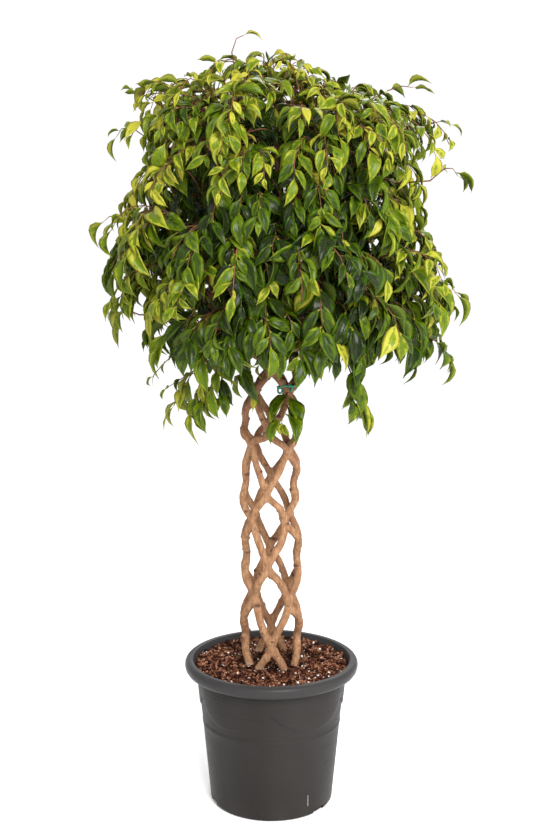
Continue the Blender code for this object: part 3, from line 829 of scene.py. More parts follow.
def tubes(name: str, routes: Sequence[Route], sides: int) -> Mesh:
    """A mesh of round, capped tubes.

    Args:
        name: Its name.
        routes: The tubes' centrelines and radii.
        sides: The even number of sides of each tube.

    Returns:
        The mesh.
    """
    curve = bpy.data.curves.new(name, "CURVE")
    curve.dimensions = "3D"
    curve.bevel_depth = 1.0
    curve.bevel_resolution = sides // 2 - 2
    curve.use_fill_caps = True
    for route in routes:
        spline = curve.splines.new("POLY")
        spline.points.add(len(route.points) - 1)
        for knot, point, radius in zip(spline.points, route.points, route.radii):
            knot.co = (*point, 1.0)
            knot.radius = radius
    mesh = settled(bare_object(name, curve))
    bm = bmesh.new()
    bm.from_mesh(mesh)
    bmesh.ops.remove_doubles(bm, verts=bm.verts, dist=MERGE)
    bm.to_mesh(mesh)
    bm.free()
    mesh.shade_smooth()
    return mesh


def add_piece(name: str, mesh: Mesh, material: Material, slot: Slot, node: Optional[str] = None) -> None:
    """Puts a finished piece on the plant.

    Args:
        name: The piece's name.
        mesh: Its mesh, in place.
        material: Its material.
        slot: The record's slot for the piece. It is not used.
        node: The CAD node that it stands for, if any.
    """
    mesh.materials.clear()
    mesh.materials.append(material)
    piece = bare_object(name, mesh)
    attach(piece, BODY)
    if node:
        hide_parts(node)
    LOG.info("%s: %d faces", name, len(mesh.polygons))


@dataclass(frozen=True)
class Pull:
    """A crossing of stems that is drawn aside, by metres to the right, back and up."""

    spot: Triple
    shift: Triple


@dataclass(frozen=True)
class Weave:
    """Eight stems, woven round a tube, whose limbs and leaders carry the head.

    A turn is a quarter of the way round, and two stems meet at every half turn.
    """

    stems: int = 8
    radius: float = 0.0562
    taper: float = 0.0022
    squeeze: float = 0.0035
    first_crossing: float = 0.346
    crossing_step: float = 0.1675
    crossing_shrink: float = 0.0215
    first_turn: float = -0.29
    last_turn: float = 3.9
    foot: float = 0.258
    foot_radius: float = 0.0088
    top_radius: float = 0.0074
    slim: float = 0.93
    # How uneven a stem's thickness and course are, and where the two read the noise
    uneven: float = 0.10
    uneven_seed: float = 9.0
    wander: float = 0.0024
    wander_seed: float = 0.5
    noise_apart: float = 7.3
    noise_along: float = 1.7
    limb_turn: float = 0.35
    limb_curve: float = 1.4
    # Radius and height of the ends of limbs and leaders
    limb_end: Pair = (0.100, 0.925)
    limb_radius: float = 0.0056
    leader_end: Pair = (0.070, 1.163)
    top_leader_end: Pair = (0.008, 1.335)
    leader_radius: float = 0.0046
    leader_slim: float = 0.8
    steps_a_turn: int = 20
    end_steps: int = 12
    sides: int = 10
    knot_step: Pair = (0.024, 0.060)
    knot_swell: float = 0.0037
    knot_reach: float = 0.0065
    knot_mark: float = 0.0060
    knot_flat: float = 1.7
    knot_sizes: Pair = (0.45, 1.30)
    knot_draw: float = 0.618
    warp: float = 0.0060
    warp_size: float = 0.070
    warp_layers: Triple = (2.3, 17.9, 41.6)
    # Heights between which the warp starts and ends
    warp_low: Pair = (0.290, 0.350)
    warp_high: Pair = (0.800, 0.845)
    pull_reach: float = 0.040
    pulls: tuple[Pull, ...] = (
        Pull((-0.055, -0.012, 0.280), (0.013, 0.0, 0.0)),
        Pull((0.055, -0.012, 0.280), (-0.010, 0.0, 0.0)),
        Pull((0.0, -0.053, 0.346), (0.002, 0.0, -0.012)),
        Pull((0.0, -0.051, 0.514), (-0.009, 0.0, -0.015)),
        Pull((0.0, -0.049, 0.660), (-0.009, 0.0, -0.012)),
        Pull((0.0, -0.046, 0.784), (-0.002, 0.0, -0.018)),
        Pull((0.040, -0.030, 0.590), (-0.008, 0.0, -0.004)),
        Pull((0.040, -0.030, 0.432), (-0.004, 0.0, -0.014)),
        Pull((-0.038, -0.030, 0.728), (-0.006, 0.0, 0.014)),
    )
    voxel: float = 0.0026
    smoothing: float = 0.5
    smooth_rounds: int = 3
    ripple: float = 0.0009
    ripple_size: float = 0.009

    def height(self, turn: float) -> float:
        """The height after so many turns."""
        return self.first_crossing + self.crossing_step * turn - self.crossing_shrink / 2 * turn * (turn - 1)

    def azimuth(self, stem: int, turn: float) -> float:
        """Where a stem is on its way round. Even stems wind one way and odd stems the other."""
        way = 1 if stem % 2 == 0 else -1
        return (stem // 2) * QUARTER + way * turn * QUARTER

    def unevenness(self, stem: int, turn: float, seed: float) -> float:
        """Noise that runs along a stem, from -1 to 1."""
        return noise.noise(Vector((stem * self.noise_apart, turn * self.noise_along, seed)))

    def point(self, stem: int, turn: float) -> Vector:
        """A point on a stem's centreline in the even weave.

        Args:
            stem: The stem.
            turn: How many turns it has made.

        Returns:
            The point.
        """
        wander = self.wander * self.unevenness(stem, turn, self.wander_seed)
        radius = self.radius - self.taper * turn - self.squeeze * math.cos(2 * FULL_TURN * turn)
        return around(radius + wander, self.azimuth(stem, turn) + wander / self.radius, self.height(turn))

    def warped(self, point: Vector) -> Vector:
        """Moves a point of the even weave to where it is on the grown plant.

        Args:
            point: The point.

        Returns:
            The moved point.
        """
        moved = point.copy()
        for pull in self.pulls:
            moved += Vector(pull.shift) * bell((point - Vector(pull.spot)).length / self.pull_reach)
        share = eased(point.z, *self.warp_low) * (1 - eased(point.z, *self.warp_high))
        spot = point / self.warp_size
        drift = Vector([noise.noise(spot + UP * layer) for layer in self.warp_layers])
        return moved + drift * self.warp * share

    def thickness(self, stem: int, turn: float) -> float:
        """A stem's radius in the weave."""
        share = (turn - self.first_turn) / (self.last_turn - self.first_turn)
        uneven = 1 + self.uneven * self.unevenness(stem, turn, self.uneven_seed)
        return between(self.foot_radius, self.top_radius, share) * uneven * self.slim

    def stem(self, stem: int) -> Route:
        """A stem from its foot in the soil to the end of its limb.

        Args:
            stem: The stem.

        Returns:
            Its centreline and radii.
        """
        count = round((self.last_turn - self.first_turn) * self.steps_a_turn)
        turns = [between(self.first_turn, self.last_turn, share) for share in shares(count)]
        points = [self.warped(self.point(stem, turn)) for turn in turns]
        radii = [self.thickness(stem, turn) for turn in turns]
        slope = points[2] - points[0]
        points.insert(0, points[0] - slope * ((points[0].z - self.foot) / slope.z))
        radii.insert(0, radii[0])
        start = points[-1]
        end_radius, end_height = self.limb_end
        for share in shares(self.end_steps)[1:]:
            out = between(math.hypot(start.x, start.y), end_radius, share**self.limb_curve)
            azimuth = self.azimuth(stem, self.last_turn + self.limb_turn * share)
            points.append(around(out, azimuth, between(start.z, end_height, share)))
            radii.append(between(self.top_radius, self.limb_radius, share))
        return Route(points, radii)

    def crossing(self, stem: int, height: float) -> tuple[Vector, float]:
        """Where a stem passes a height.

        Args:
            stem: The stem.
            height: The height.

        Returns:
            The point on its centreline and its radius there.
        """
        route = self.stem(stem)
        rows = zip(route.points, route.points[1:], route.radii)
        low, high, radius = next(row for row in rows if row[0].z <= height < row[1].z)
        return low.lerp(high, (height - low.z) / (high.z - low.z)), radius

    def leader(self, stem: int, azimuth: float, end: Pair) -> Route:
        """A leader that forks from a stem and rises into the head.

        Args:
            stem: The stem.
            azimuth: The azimuth of the leader's end.
            end: The radius and height of its end.

        Returns:
            Its centreline and radii.
        """
        start = self.point(stem, self.last_turn)
        first = self.azimuth(stem, self.last_turn)
        swing = (azimuth - first + math.pi) % FULL_TURN - math.pi
        points = []
        for share in shares(self.end_steps):
            ease = eased(share, 0.0, 1.0)
            out = between(math.hypot(start.x, start.y), end[0], ease)
            points.append(around(out, first + swing * ease, between(start.z, end[1], share)))
        return tapered(points, (self.top_radius * self.leader_slim, self.leader_radius))

    def leaders(self, count: int, first: float) -> list[Route]:
        """A leader for each upper clump, from the nearest free stem, and one for the top.

        Args:
            count: The number of upper clumps.
            first: The azimuth of the first.

        Returns:
            The leaders, with the top one last.
        """
        free = list(range(self.stems))
        made = []
        for azimuth in azimuths(count, first):
            nearest = max(free, key=lambda stem: math.cos(self.azimuth(stem, self.last_turn) - azimuth))
            free.remove(nearest)
            made.append(self.leader(nearest, azimuth, self.leader_end))
        top = free[0]
        return made + [self.leader(top, self.azimuth(top, self.last_turn), self.top_leader_end)]

    def knots_on(self, route: Route, rng: random.Random) -> Iterator[Vector]:
        """Places on a stem's skin where a twig once grew.

        Args:
            route: The stem.
            rng: The random draw.

        Yields:
            Each place.
        """
        for point, on, share in route.walk(self.knot_step[0], rng, self.knot_step):
            radius = route.radii[min(len(route.radii) - 1, int(share * len(route.radii)))]
            side = Quaternion(on, rng.uniform(0.0, FULL_TURN)) @ on.orthogonal().normalized()
            yield point + side * radius

    def grown(self, routes: Sequence[Route]) -> Mesh:
        """Lets stems grow together where they cross.

        Args:
            routes: The stems.

        Returns:
            One smooth skin over them all.
        """
        trunk = bare_object("stems", tubes("stems", routes, self.sides))
        remesh = trunk.modifiers.new("Grow together", "REMESH")
        remesh.mode = "VOXEL"
        remesh.voxel_size = self.voxel
        smooth = trunk.modifiers.new("Smooth", "SMOOTH")
        smooth.factor = self.smoothing
        smooth.iterations = self.smooth_rounds
        return settled(trunk)

    def knot_skin(self, mesh: Mesh, knots: Sequence[Vector]) -> None:
        """Swells the skin at the knots, marks them, and ripples the whole of it.

        Args:
            mesh: The skin.
            knots: The knots' places.
        """
        tree = kdtree.KDTree(len(knots))
        for index, knot in enumerate(knots):
            tree.insert(knot, index)
        tree.balance()
        marks = mesh.attributes.new(KNOT, "FLOAT", "POINT")
        normals = [vert.normal.copy() for vert in mesh.vertices]
        for vert, mark, normal in zip(mesh.vertices, marks.data, normals):
            knot, index, _ = tree.find(vert.co)
            size = between(*self.knot_sizes, index * self.knot_draw % 1.0)
            away = vert.co - knot
            away.z *= self.knot_flat
            mark.value = bell(away.length / self.knot_mark / size)
            swell = self.knot_swell * size * bell(away.length / self.knot_reach / size)
            vert.co += normal * (swell + self.ripple * noise.noise(vert.co / self.ripple_size))

    def build(self, leaders: Sequence[Route], material: Material) -> None:
        """Makes the trunk.

        Args:
            leaders: The leaders that fork from the stems.
            material: The bark.
        """
        rng = random.Random("knots")
        routes = [self.stem(stem) for stem in range(self.stems)] + list(leaders)
        knots = [knot for route in routes for knot in self.knots_on(route, rng)]
        mesh = self.grown(routes)
        self.knot_skin(mesh, knots)
        mesh.shade_smooth()
        add_piece("woven_stems", mesh, material, Slot.BARK, "woven_trunk")


@dataclass(frozen=True)
class BladeForm:
    """A leaf with its stalk, whose sizes are shares of the blade's length.

    Its mesh is a flat grid, of which one row is the stalk, with a copy below it as the under side.
    """

    width: float
    fold: float
    arch: float
    lift: float
    wave: float
    phase: float
    sway: float
    twist: float
    across: int = 4
    along: int = 8
    waves: float = 9.0
    stalk_half: float = 0.011
    thickness: float = 0.010
    cup: float = 0.22
    # Shares of the greatest width, in even steps from the blade's base to its tip
    widths: tuple[float, ...] = (0.15, 0.74, 0.97, 1.00, 0.85, 0.52, 0.15, 0.02)

    @property
    def stalk(self) -> float:
        """The stalk's length: one of the rows of faces."""
        return 1 / (self.along - 1)

    def half_width(self, share: float) -> float:
        """Half the width: round at the blade's base, drawn out to its tip.

        Args:
            share: The share of the blade's length, below 0 on the stalk.

        Returns:
            Half the width there.
        """
        step = share * (len(self.widths) - 1)
        if step < -0.5:
            return self.stalk_half
        low = min(len(self.widths) - 2, max(0, math.floor(step)))
        return self.width / 2 * between(self.widths[low], self.widths[low + 1], step - low)

    def bent(self, across: float, along: float, below: bool) -> Vector:
        """Folds, arches and twists a point of the flat grid.

        Args:
            across: From -1 to 1 across the leaf.
            along: From 0 to 1 along the stalk and the blade.
            below: Whether it is on the under side.

        Returns:
            The point on the leaf.
        """
        run = along * (1 + self.stalk)
        share = run - self.stalk
        half = self.half_width(share)
        rise = half * (abs(across) * self.fold - across * across * self.cup)
        rise += half * self.wave * across * math.sin(self.phase + share * self.waves) * abs(across)
        if below:
            rise -= self.thickness
        turn = self.twist * run
        aside = across * half * math.cos(turn) - rise * math.sin(turn)
        rise = across * half * math.sin(turn) + rise * math.cos(turn)
        rate = (self.lift + self.arch) / (1 + self.stalk)
        angle = self.lift - rate * run
        forward = (math.sin(self.lift) - math.sin(angle)) / rate - math.sin(angle) * rise
        upward = (math.cos(angle) - math.cos(self.lift)) / rate + math.cos(angle) * rise
        return Vector((aside + self.sway * run * run, forward, upward))

    def build(self, name: str) -> Mesh:
        """Makes the leaf: an upper and an under side, joined along the margin.

        Args:
            name: The mesh's name.

        Returns:
            The mesh, with its stalk's foot at the origin.
        """
        bm = bmesh.new()
        uv = bm.loops.layers.uv.new(BLADE_UV)
        bmesh.ops.create_grid(bm, x_segments=self.across, y_segments=self.along, size=1.0, calc_uvs=True)
        copy = bmesh.ops.duplicate(bm, geom=bm.verts[:] + bm.edges[:] + bm.faces[:])["geom"]
        under = [item for item in copy if isinstance(item, BMFace)]
        bmesh.ops.reverse_faces(bm, faces=under)
        inner = [item for item in copy if isinstance(item, BMVert) and not item.is_boundary]
        bmesh.ops.translate(bm, verts=inner, vec=-UP)
        for loop in [loop for face in bm.faces for loop in face.loops]:
            loop[uv].uv.y = loop[uv].uv.y * (1 + self.stalk) - self.stalk
        for loop in [loop for face in under for loop in face.loops]:
            loop[uv].uv.y += UNDER_OFFSET
        for vert in bm.verts:
            vert.co = self.bent(vert.co.x, (vert.co.y + 1) / 2, vert.co.z < 0)
        bmesh.ops.remove_doubles(bm, verts=bm.verts, dist=MERGE)
        mesh = mesh_of(bm, name)
        mesh.shade_smooth()
        return mesh


@dataclass(frozen=True)
class Tier:
    """A tier of clumps, from so many degrees round, and how their boughs fan out, rise and reach."""

    name: str
    clumps: int
    first: float
    fan: float
    rise: Pair
    reach: float
    boughs: int = 6

    def clump(self, index: int) -> str:
        """The name of a clump."""
        return f"{self.name}_clump_{index + 1}"


LOWER = Tier("lower", 8, 22.5, 0.30, (0.0, 0.20), 0.185)
UPPER = Tier("upper", 6, 30.0, 0.42, (0.0, 0.15), 0.165)
TOP = Tier("top", 1, 0.0, math.pi, (0.02, 0.07), 0.075)
TOP_CLUMP = "top_clump"


@dataclass
class Bunch:
    """One clump of the head: the end of its limb, its leaves, its twigs and its boughs."""

    tier: Tier
    root: Vector
    leaves: BMesh = field(default_factory=bmesh.new)
    twigs: list[Route] = field(default_factory=list)
    boughs: list[Route] = field(default_factory=list)


@dataclass(frozen=True)
class Habit:
    """How a twig's leaves are.

    Their youth goes from 0, dark, to 1, yellow. Their size and step are shares of the usual ones. The perk
    lifts them, and the first one comes after the bare length.
    """

    youth: float = 0.3
    size: float = 1.0
    perk: float = 0.0
    bare: float = 0.02
    step: float = 1.0


@dataclass(frozen=True)
class Shoot:
    """A shoot past the head's outline, by azimuths in degrees, and radii and heights in millimetres."""

    clump: str
    habit: Habit
    points: tuple[tuple[int, int, int], ...]
    joined: bool = True


HANGING = Habit()
SPRAY = Habit(0.55, 0.86, 0.55, 0.03, 1.9)
SPRIG = Habit(0.40, 1.08, 0.1, 0.012, 0.62)
YELLOW = Habit(1.0, 0.85, 0.0, 0.07)
SMALL = Habit(0.45, 0.5, 0.3, 0.03, 1.4)
LONE = Habit(0.50, 1.0, 0.0, 0.06)
HIGHEST = Habit(0.95, 0.85, 0.30, 0.30)
SHOOTS = (
    Shoot("lower_clump_1", SPRIG, ((18, 52, 846), (12, 72, 844), (6, 86, 824), (3, 92, 794)), False),
    Shoot("lower_clump_2", HANGING, ((51, 165, 905), (52, 176, 878), (52, 184, 852), (54, 190, 828))),
    Shoot("lower_clump_2", HANGING, ((47, 190, 925), (45, 200, 898), (43, 200, 874), (41, 196, 852))),
    Shoot("lower_clump_7", Habit(0.45), ((-47, 176, 915), (-49, 183, 885), (-52, 194, 855), (-54, 203, 826))),
    Shoot("lower_clump_8", Habit(0.38), ((-38, 180, 920), (-41, 186, 885), (-43, 192, 855), (-45, 197, 832))),
    Shoot("lower_clump_7", Habit(0.62), ((-58, 178, 910), (-63, 190, 880), (-66, 202, 852), (-68, 216, 824))),
    Shoot("lower_clump_8", Habit(0.40), ((-46, 145, 905), (-47, 148, 880), (-48, 149, 862), (-48, 150, 848))),
    Shoot("lower_clump_8", Habit(0.20), ((-37, 135, 955), (-37, 128, 925), (-37, 118, 902), (-37, 113, 884))),
    Shoot("lower_clump_8", YELLOW, ((-37, 162, 950), (-37, 158, 925), (-37, 155, 910), (-37, 153, 898))),
    Shoot("lower_clump_8", Habit(0.25), ((-21, 130, 962), (-21, 118, 938), (-21, 108, 920), (-21, 102, 908))),
    Shoot("lower_clump_8", LONE, ((-44, 60, 860), (-40, 72, 866), (-36, 80, 864), (-34, 84, 856)), False),
    Shoot("lower_clump_7", SMALL, ((-57, 160, 895), (-62, 178, 889), (-66, 200, 878), (-69, 228, 859))),
    Shoot("lower_clump_7", SMALL, ((-60, 190, 940), (-66, 215, 925), (-70, 236, 902), (-73, 250, 880))),
    Shoot("lower_clump_7", SPRAY, ((-90, 270, 990), (-90, 295, 1000), (-91, 308, 990), (-92, 312, 978))),
    Shoot("lower_clump_7", SPRAY, ((-90, 290, 1165), (-90, 312, 1180), (-88, 324, 1178), (-86, 332, 1170))),
    Shoot("upper_clump_5", SPRAY, ((-88, 250, 1325), (-88, 280, 1345), (-90, 298, 1342), (-91, 308, 1328))),
    Shoot("upper_clump_5", SPRAY, ((-86, 190, 1360), (-86, 228, 1388), (-87, 254, 1403), (-88, 272, 1408))),
    Shoot("upper_clump_2", SPRAY, ((90, 250, 1330), (90, 285, 1352), (91, 308, 1356), (92, 326, 1350))),
    Shoot("upper_clump_2", SPRAY, ((84, 285, 1245), (85, 312, 1268), (87, 328, 1268), (88, 338, 1254))),
    Shoot("upper_clump_2", SPRAY, ((78, 160, 1385), (80, 200, 1408), (82, 228, 1418), (84, 250, 1416))),
    Shoot("lower_clump_3", SPRAY, ((88, 285, 1040), (88, 312, 1054), (87, 330, 1048), (86, 340, 1032))),
    Shoot("lower_clump_3", Habit(0.4, 0.9), ((84, 255, 955), (85, 290, 950), (86, 315, 932), (87, 328, 906))),
    Shoot(TOP_CLUMP, HIGHEST, ((-90, 80, 1430), (-90, 89, 1482), (-90, 80, 1507), (-90, 66, 1513))),
)


@dataclass(frozen=True)
class Seat:
    """Where a leaf sits on a twig.

    It has the point where the stalk starts, the way on along the twig, as long as the leaf follows it, the
    side, which is 1 or -1, or 0 at the twig's end, and the share of the twig that is behind it.
    """

    point: Vector
    on: Vector
    side: float
    share: float


@dataclass
class Leafage:
    """The leaves: their forms, how they hang from the twigs, and the room that they have taken."""

    rng: random.Random
    forms: int = 18
    step: Pair = (0.013, 0.019)
    length: Pair = (0.044, 0.080)
    # Shares of the usual length at the head's top, over these heights, and at a twig's tip, from so far on
    top_size: float = 0.76
    top_heights: Pair = (1.14, 1.38)
    tip_size: float = 0.50
    tip_from: float = 0.75
    # The middle of a blade of unit length, and the least distance between two middles
    heart: Triple = (0.0, 0.55, -0.1)
    room: float = 0.0115
    # No leaf hangs lower than this within this radius, within the tie's room, or past the front
    lowest: Pair = (0.125, 0.912)
    tie_spot: Triple = (0.040, -0.105, 0.870)
    tie_room: float = 0.054
    front: float = -0.357
    tip_youth: float = 0.22
    tip_youth_from: float = 0.6
    youth_draw: float = 0.10
    bright_youth: float = 0.45
    bright_share: float = 0.05
    # How far a leaf follows its twig, turns aside, turns outwards and hangs down
    follow: Pair = (0.35, 0.8)
    aside: Pair = (0.5, 1.1)
    outward: Pair = (0.0, 0.45)
    sag: Pair = (-1.15, -0.75)
    sag_heights: Pair = (1.20, 1.40)
    sag_draw: float = 0.8
    way_draw: float = 0.2
    # How far its upper side faces up and, by height, outwards
    face_up: float = 0.8
    face_out: Pair = (0.85, 0.35)
    face_heights: Pair = (1.15, 1.40)
    face_draw: Triple = (0.42, 0.42, 0.3)
    # Nearer the axis than this the way out is drawn, and steeper than this a twig has no sides
    axis_room: float = 0.02
    upright: float = 0.2
    blades: list[Mesh] = field(default_factory=list)
    taken: dict[tuple[int, ...], list[Vector]] = field(default_factory=dict)

    def __post_init__(self) -> None:
        """Makes the forms."""
        self.blades += [self.form().build(f"leaf_{index}") for index in range(self.forms)]

    def form(self) -> BladeForm:
        """Draws a leaf's form.

        Returns:
            The form.
        """
        draw = self.rng.uniform
        return BladeForm(
            width=draw(0.33, 0.46),
            fold=draw(0.30, 1.10),
            arch=draw(0.50, 1.60),
            lift=draw(0.10, 0.60),
            wave=draw(0.08, 0.30),
            phase=draw(0.0, FULL_TURN),
            sway=draw(-0.14, 0.14),
            twist=draw(-0.9, 0.9),
        )

    def dress(self, twig: Route, bunch: Bunch, habit: Habit) -> None:
        """Sets leaves on alternate sides of a twig, and one at its end.

        Args:
            twig: The twig.
            bunch: The clump that the leaves join.
            habit: How they are.
        """
        side = self.rng.choice((-1.0, 1.0))
        step = (self.step[0] * habit.step, self.step[1] * habit.step)
        for point, on, share in twig.walk(habit.bare, self.rng, step):
            side = -side
            self.set_leaf(Seat(point, on * self.rng.uniform(*self.follow), side, share), bunch, habit)
        end = twig.points[-1]
        self.set_leaf(Seat(end, (end - twig.points[-2]).normalized(), 0.0, 1.0), bunch, habit)

    def set_leaf(self, seat: Seat, bunch: Bunch, habit: Habit) -> None:
        """Adds a leaf if there is room for it.

        Args:
            seat: Where it sits.
            bunch: The clump that it joins.
            habit: How the twig's leaves are.
        """
        tip = max(0.0, seat.share - self.tip_from) / (1 - self.tip_from)
        length = self.rng.uniform(*self.length) * habit.size * (1.0 - self.tip_size * tip * self.rng.random())
        length *= between(1.0, self.top_size, eased(seat.point.z, *self.top_heights))
        matrix = self.matrix(seat, habit.perk) @ Matrix.Scale(length, 4)
        middle = matrix @ Vector(self.heart)
        below = middle.z < self.lowest[1] < seat.point.z and math.hypot(middle.x, middle.y) < self.lowest[0]
        if below or (middle - Vector(self.tie_spot)).length < self.tie_room or not self.takes(middle):
            return
        bright = self.bright_youth if self.rng.random() < self.bright_share else 0.0
        late = max(0.0, seat.share - self.tip_youth_from)
        youth = habit.youth + (self.rng.gauss(0, self.youth_draw) + self.tip_youth * late + bright)
        mesh = self.rng.choice(self.blades).copy()
        toned(mesh, matrix, min(1.0, max(0.0, youth)), self.rng.random())
        if all(vert.co.y > self.front for vert in mesh.vertices):
            bunch.leaves.from_mesh(mesh)
        bpy.data.meshes.remove(mesh)

    def takes(self, middle: Vector) -> bool:
        """Takes the room round a leaf's middle, if it is free.

        Args:
            middle: The leaf's middle.

        Returns:
            Whether it was free.
        """
        cell = [math.floor(value / self.room) for value in middle]
        for step in itertools.product((-1, 0, 1), repeat=3):
            key = tuple(place + move for place, move in zip(cell, step))
            if any((old - middle).length < self.room for old in self.taken.get(key, ())):
                return False
        self.taken.setdefault(tuple(cell), []).append(middle)
        return True

    def matrix(self, seat: Seat, perk: float) -> Matrix:
        """The place and turn of a leaf.

        Args:
            seat: Where it sits.
            perk: How much less than usual it hangs.

        Returns:
            A matrix that turns and moves a form.
        """
        point, on, draw = seat.point, seat.on, self.rng
        out = Vector((point.x - HEAD_SHIFT, point.y, 0.0))
        if out.length < self.axis_room:
            out = Vector((draw.gauss(0, 1), draw.gauss(0, 1), 0.0))
        out.normalize()
        aside = on.cross(UP)
        if aside.length < self.upright * on.length:
            aside = on.cross(out)
        aside.normalize()
        sag = between(*self.sag, eased(point.z, *self.sag_heights)) + perk
        forward = on + aside * seat.side * draw.uniform(*self.aside) + out * draw.uniform(*self.outward)
        way = self.way_draw
        forward += Vector((draw.gauss(0, way), draw.gauss(0, way), draw.uniform(sag, sag + self.sag_draw)))
        forward.normalize()
        facing = between(*self.face_out, eased(point.z, *self.face_heights))
        face = UP * self.face_up + out * facing + Vector([draw.gauss(0, spread) for spread in self.face_draw])
        upper = (face - forward * face.dot(forward)).normalized()
        turn = Matrix((forward.cross(upper), forward, upper)).transposed().to_4x4()
        return Matrix.Translation(point) @ turn


@dataclass
class Head:
    """The round head: boughs from each limb, weeping twigs from the boughs, and leaves on the twigs."""

    # Height, and how far the head's middle is to the right there
    sway: tuple[Pair, ...] = (
        (0.900, 0.060), (0.960, 0.042), (1.045, 0.034), (1.085, -0.002), (1.140, -0.012),
        (1.168, 0.002), (1.195, 0.025), (1.270, 0.028), (1.350, 0.008), (1.420, -0.014),
        (1.500, -0.022),
    )
    # Radius and height of the twigs' ends, from under the head to its top
    outline: tuple[Pair, ...] = (
        (0.085, 0.985), (0.165, 0.955), (0.258, 0.932), (0.300, 0.972), (0.304, 1.050),
        (0.294, 1.110), (0.295, 1.145), (0.279, 1.190), (0.273, 1.240), (0.283, 1.305),
        (0.266, 1.350), (0.212, 1.388), (0.150, 1.420), (0.085, 1.453), (0.000, 1.466),
    )
    tier_height: float = 1.17
    top_height: float = 1.385
    top_reach: float = 0.115
    bough_radius: Pair = (0.0042, 0.0020)
    bough_reach: Pair = (0.75, 1.1)
    bough_arch: float = 0.03
    bough_points: int = 12
    # From one twig to the next, in radians
    turn: float = 2.39996
    turn_draw: float = 0.2
    # Inner twigs: their number, share of the outline's radius, and height
    inner_count: int = 230
    inner_share: float = 0.68
    inner_draw: Pair = (0.75, 1.15)
    inner_middle: float = 1.16
    inner_flat: float = 0.22
    inner_drop: float = 0.01
    # The inner leaves are the oldest and darkest: partly the older leaves inside the head, partly painted
    # shade
    inner: Habit = Habit(0.02, bare=0.055)
    # Filler twigs: their number, share of the outline's radius, and how far aside they stop
    filler_count: int = 190
    filler_share: Pair = (0.55, 0.92)
    filler_aside: float = 0.19
    # The filler leaves are nearly as dark: partly old leaves, partly painted shade
    filler: Habit = Habit(0.04, bare=0.055)
    # Outer twigs, of which one in so many is a runner that stands past the others
    twig_count: int = 480
    depth: Pair = (0.84, 1.05)
    lump: float = 0.105
    lump_size: float = 0.16
    height_draw: float = 0.015
    outer_bare: Pair = (0.07, 0.02)
    bare_heights: Pair = (1.34, 1.43)
    runner_every: int = 8
    runner_first: int = 5
    runner_reach: Pair = (1.06, 1.16)
    runner_rise: float = 0.015
    runner_size: float = 0.74
    runner_perk: float = 0.2
    # As far aside as this and under this height one twig in so many is left out
    sparse: Pair = (0.15, 1.29)
    sparse_every: int = 4
    # A twig's arch: how far in from its end and above it the bough is, its handles, and its points
    twig_radius: Pair = (0.0017, 0.0007)
    bough_bare: int = 3
    inward: float = 0.42
    above: float = 0.02
    start_draw: Pair = (0.8, 1.2)
    steep_reach: float = 0.26
    first_handle: Pair = (0.25, 0.45)
    fall: Pair = (0.18, 0.46)
    overhang: Pair = (0.42, 0.14)
    twig_points: int = 10
    shoot_bare: int = 3
    twig_sides: int = 4
    # The youth of an outer twig's leaves: at the least, with height, by patches, leftwards, less deep in the
    # front, at the sides, on a runner, and by its own draw
    youth: float = 0.14
    high_youth: float = 0.33
    high_heights: Pair = (0.93, 1.43)
    patch_youth: float = 0.20
    patch_size: float = 0.11
    left_youth: float = 0.06
    deep_youth: float = 0.20
    deep_half: float = 0.14
    deep_low: Pair = (0.95, 1.06)
    deep_high: Pair = (1.20, 1.34)
    side_youth: float = 0.10
    side_from: Pair = (0.12, 0.26)
    side_high: Pair = (1.20, 1.30)
    runner_youth: float = 0.30
    twig_draw: float = 0.08
    rng: random.Random = field(default_factory=lambda: random.Random("head"))
    bunches: dict[str, Bunch] = field(default_factory=dict)
    leafage: Leafage = field(init=False)

    def __post_init__(self) -> None:
        """Starts the leaves, which share the head's random draw."""
        self.leafage = Leafage(self.rng)

    def middle_at(self, height: float) -> Vector:
        """How far the head's middle is to the right.

        Args:
            height: The height.

        Returns:
            The step from the pot's axis.
        """
        rows = list(zip(self.sway, self.sway[1:]))
        low, high = next((row for row in rows if height < row[1][0]), rows[-1])
        return Vector((between(low[1], high[1], eased(height, low[0], high[0])), 0.0, 0.0))

    def clump_at(self, azimuth: float, radius: float, height: float) -> str:
        """The clump that a twig belongs to.

        Args:
            azimuth: The azimuth of its end.
            radius: The radius of its end.
            height: The height of its end.

        Returns:
            The clump's name.
        """
        if height > self.top_height and radius < self.top_reach:
            return TOP_CLUMP
        tier = UPPER if height > self.tier_height else LOWER
        return tier.clump(int((azimuth % FULL_TURN) / (FULL_TURN / tier.clumps)) % tier.clumps)

    def outline_at(self, share: float) -> Pair:
        """A place on the outline, so that equal steps cover equal areas of the head.

        Args:
            share: The share of the outline's turned area that is below it.

        Returns:
            Its radius and height.
        """
        rows = list(zip(self.outline, self.outline[1:]))
        areas = [(a[0] + b[0]) * math.dist(a, b) for a, b in rows]
        aim = share * sum(areas)
        for (low, high), area in zip(rows, areas):
            if aim <= area:
                return between(low[0], high[0], aim / area), between(low[1], high[1], aim / area)
            aim -= area
        return self.outline[-1]

    def spread(self, count: int) -> Iterator[tuple[int, float, float, float]]:
        """Spreads twigs over the outline.

        Args:
            count: How many twigs.

        Yields:
            Each one's number, and the radius, azimuth and height of its place.
        """
        for index in range(count):
            radius, height = self.outline_at((index + 0.5) / count)
            yield index, radius, index * self.turn + self.rng.uniform(-self.turn_draw, self.turn_draw), height

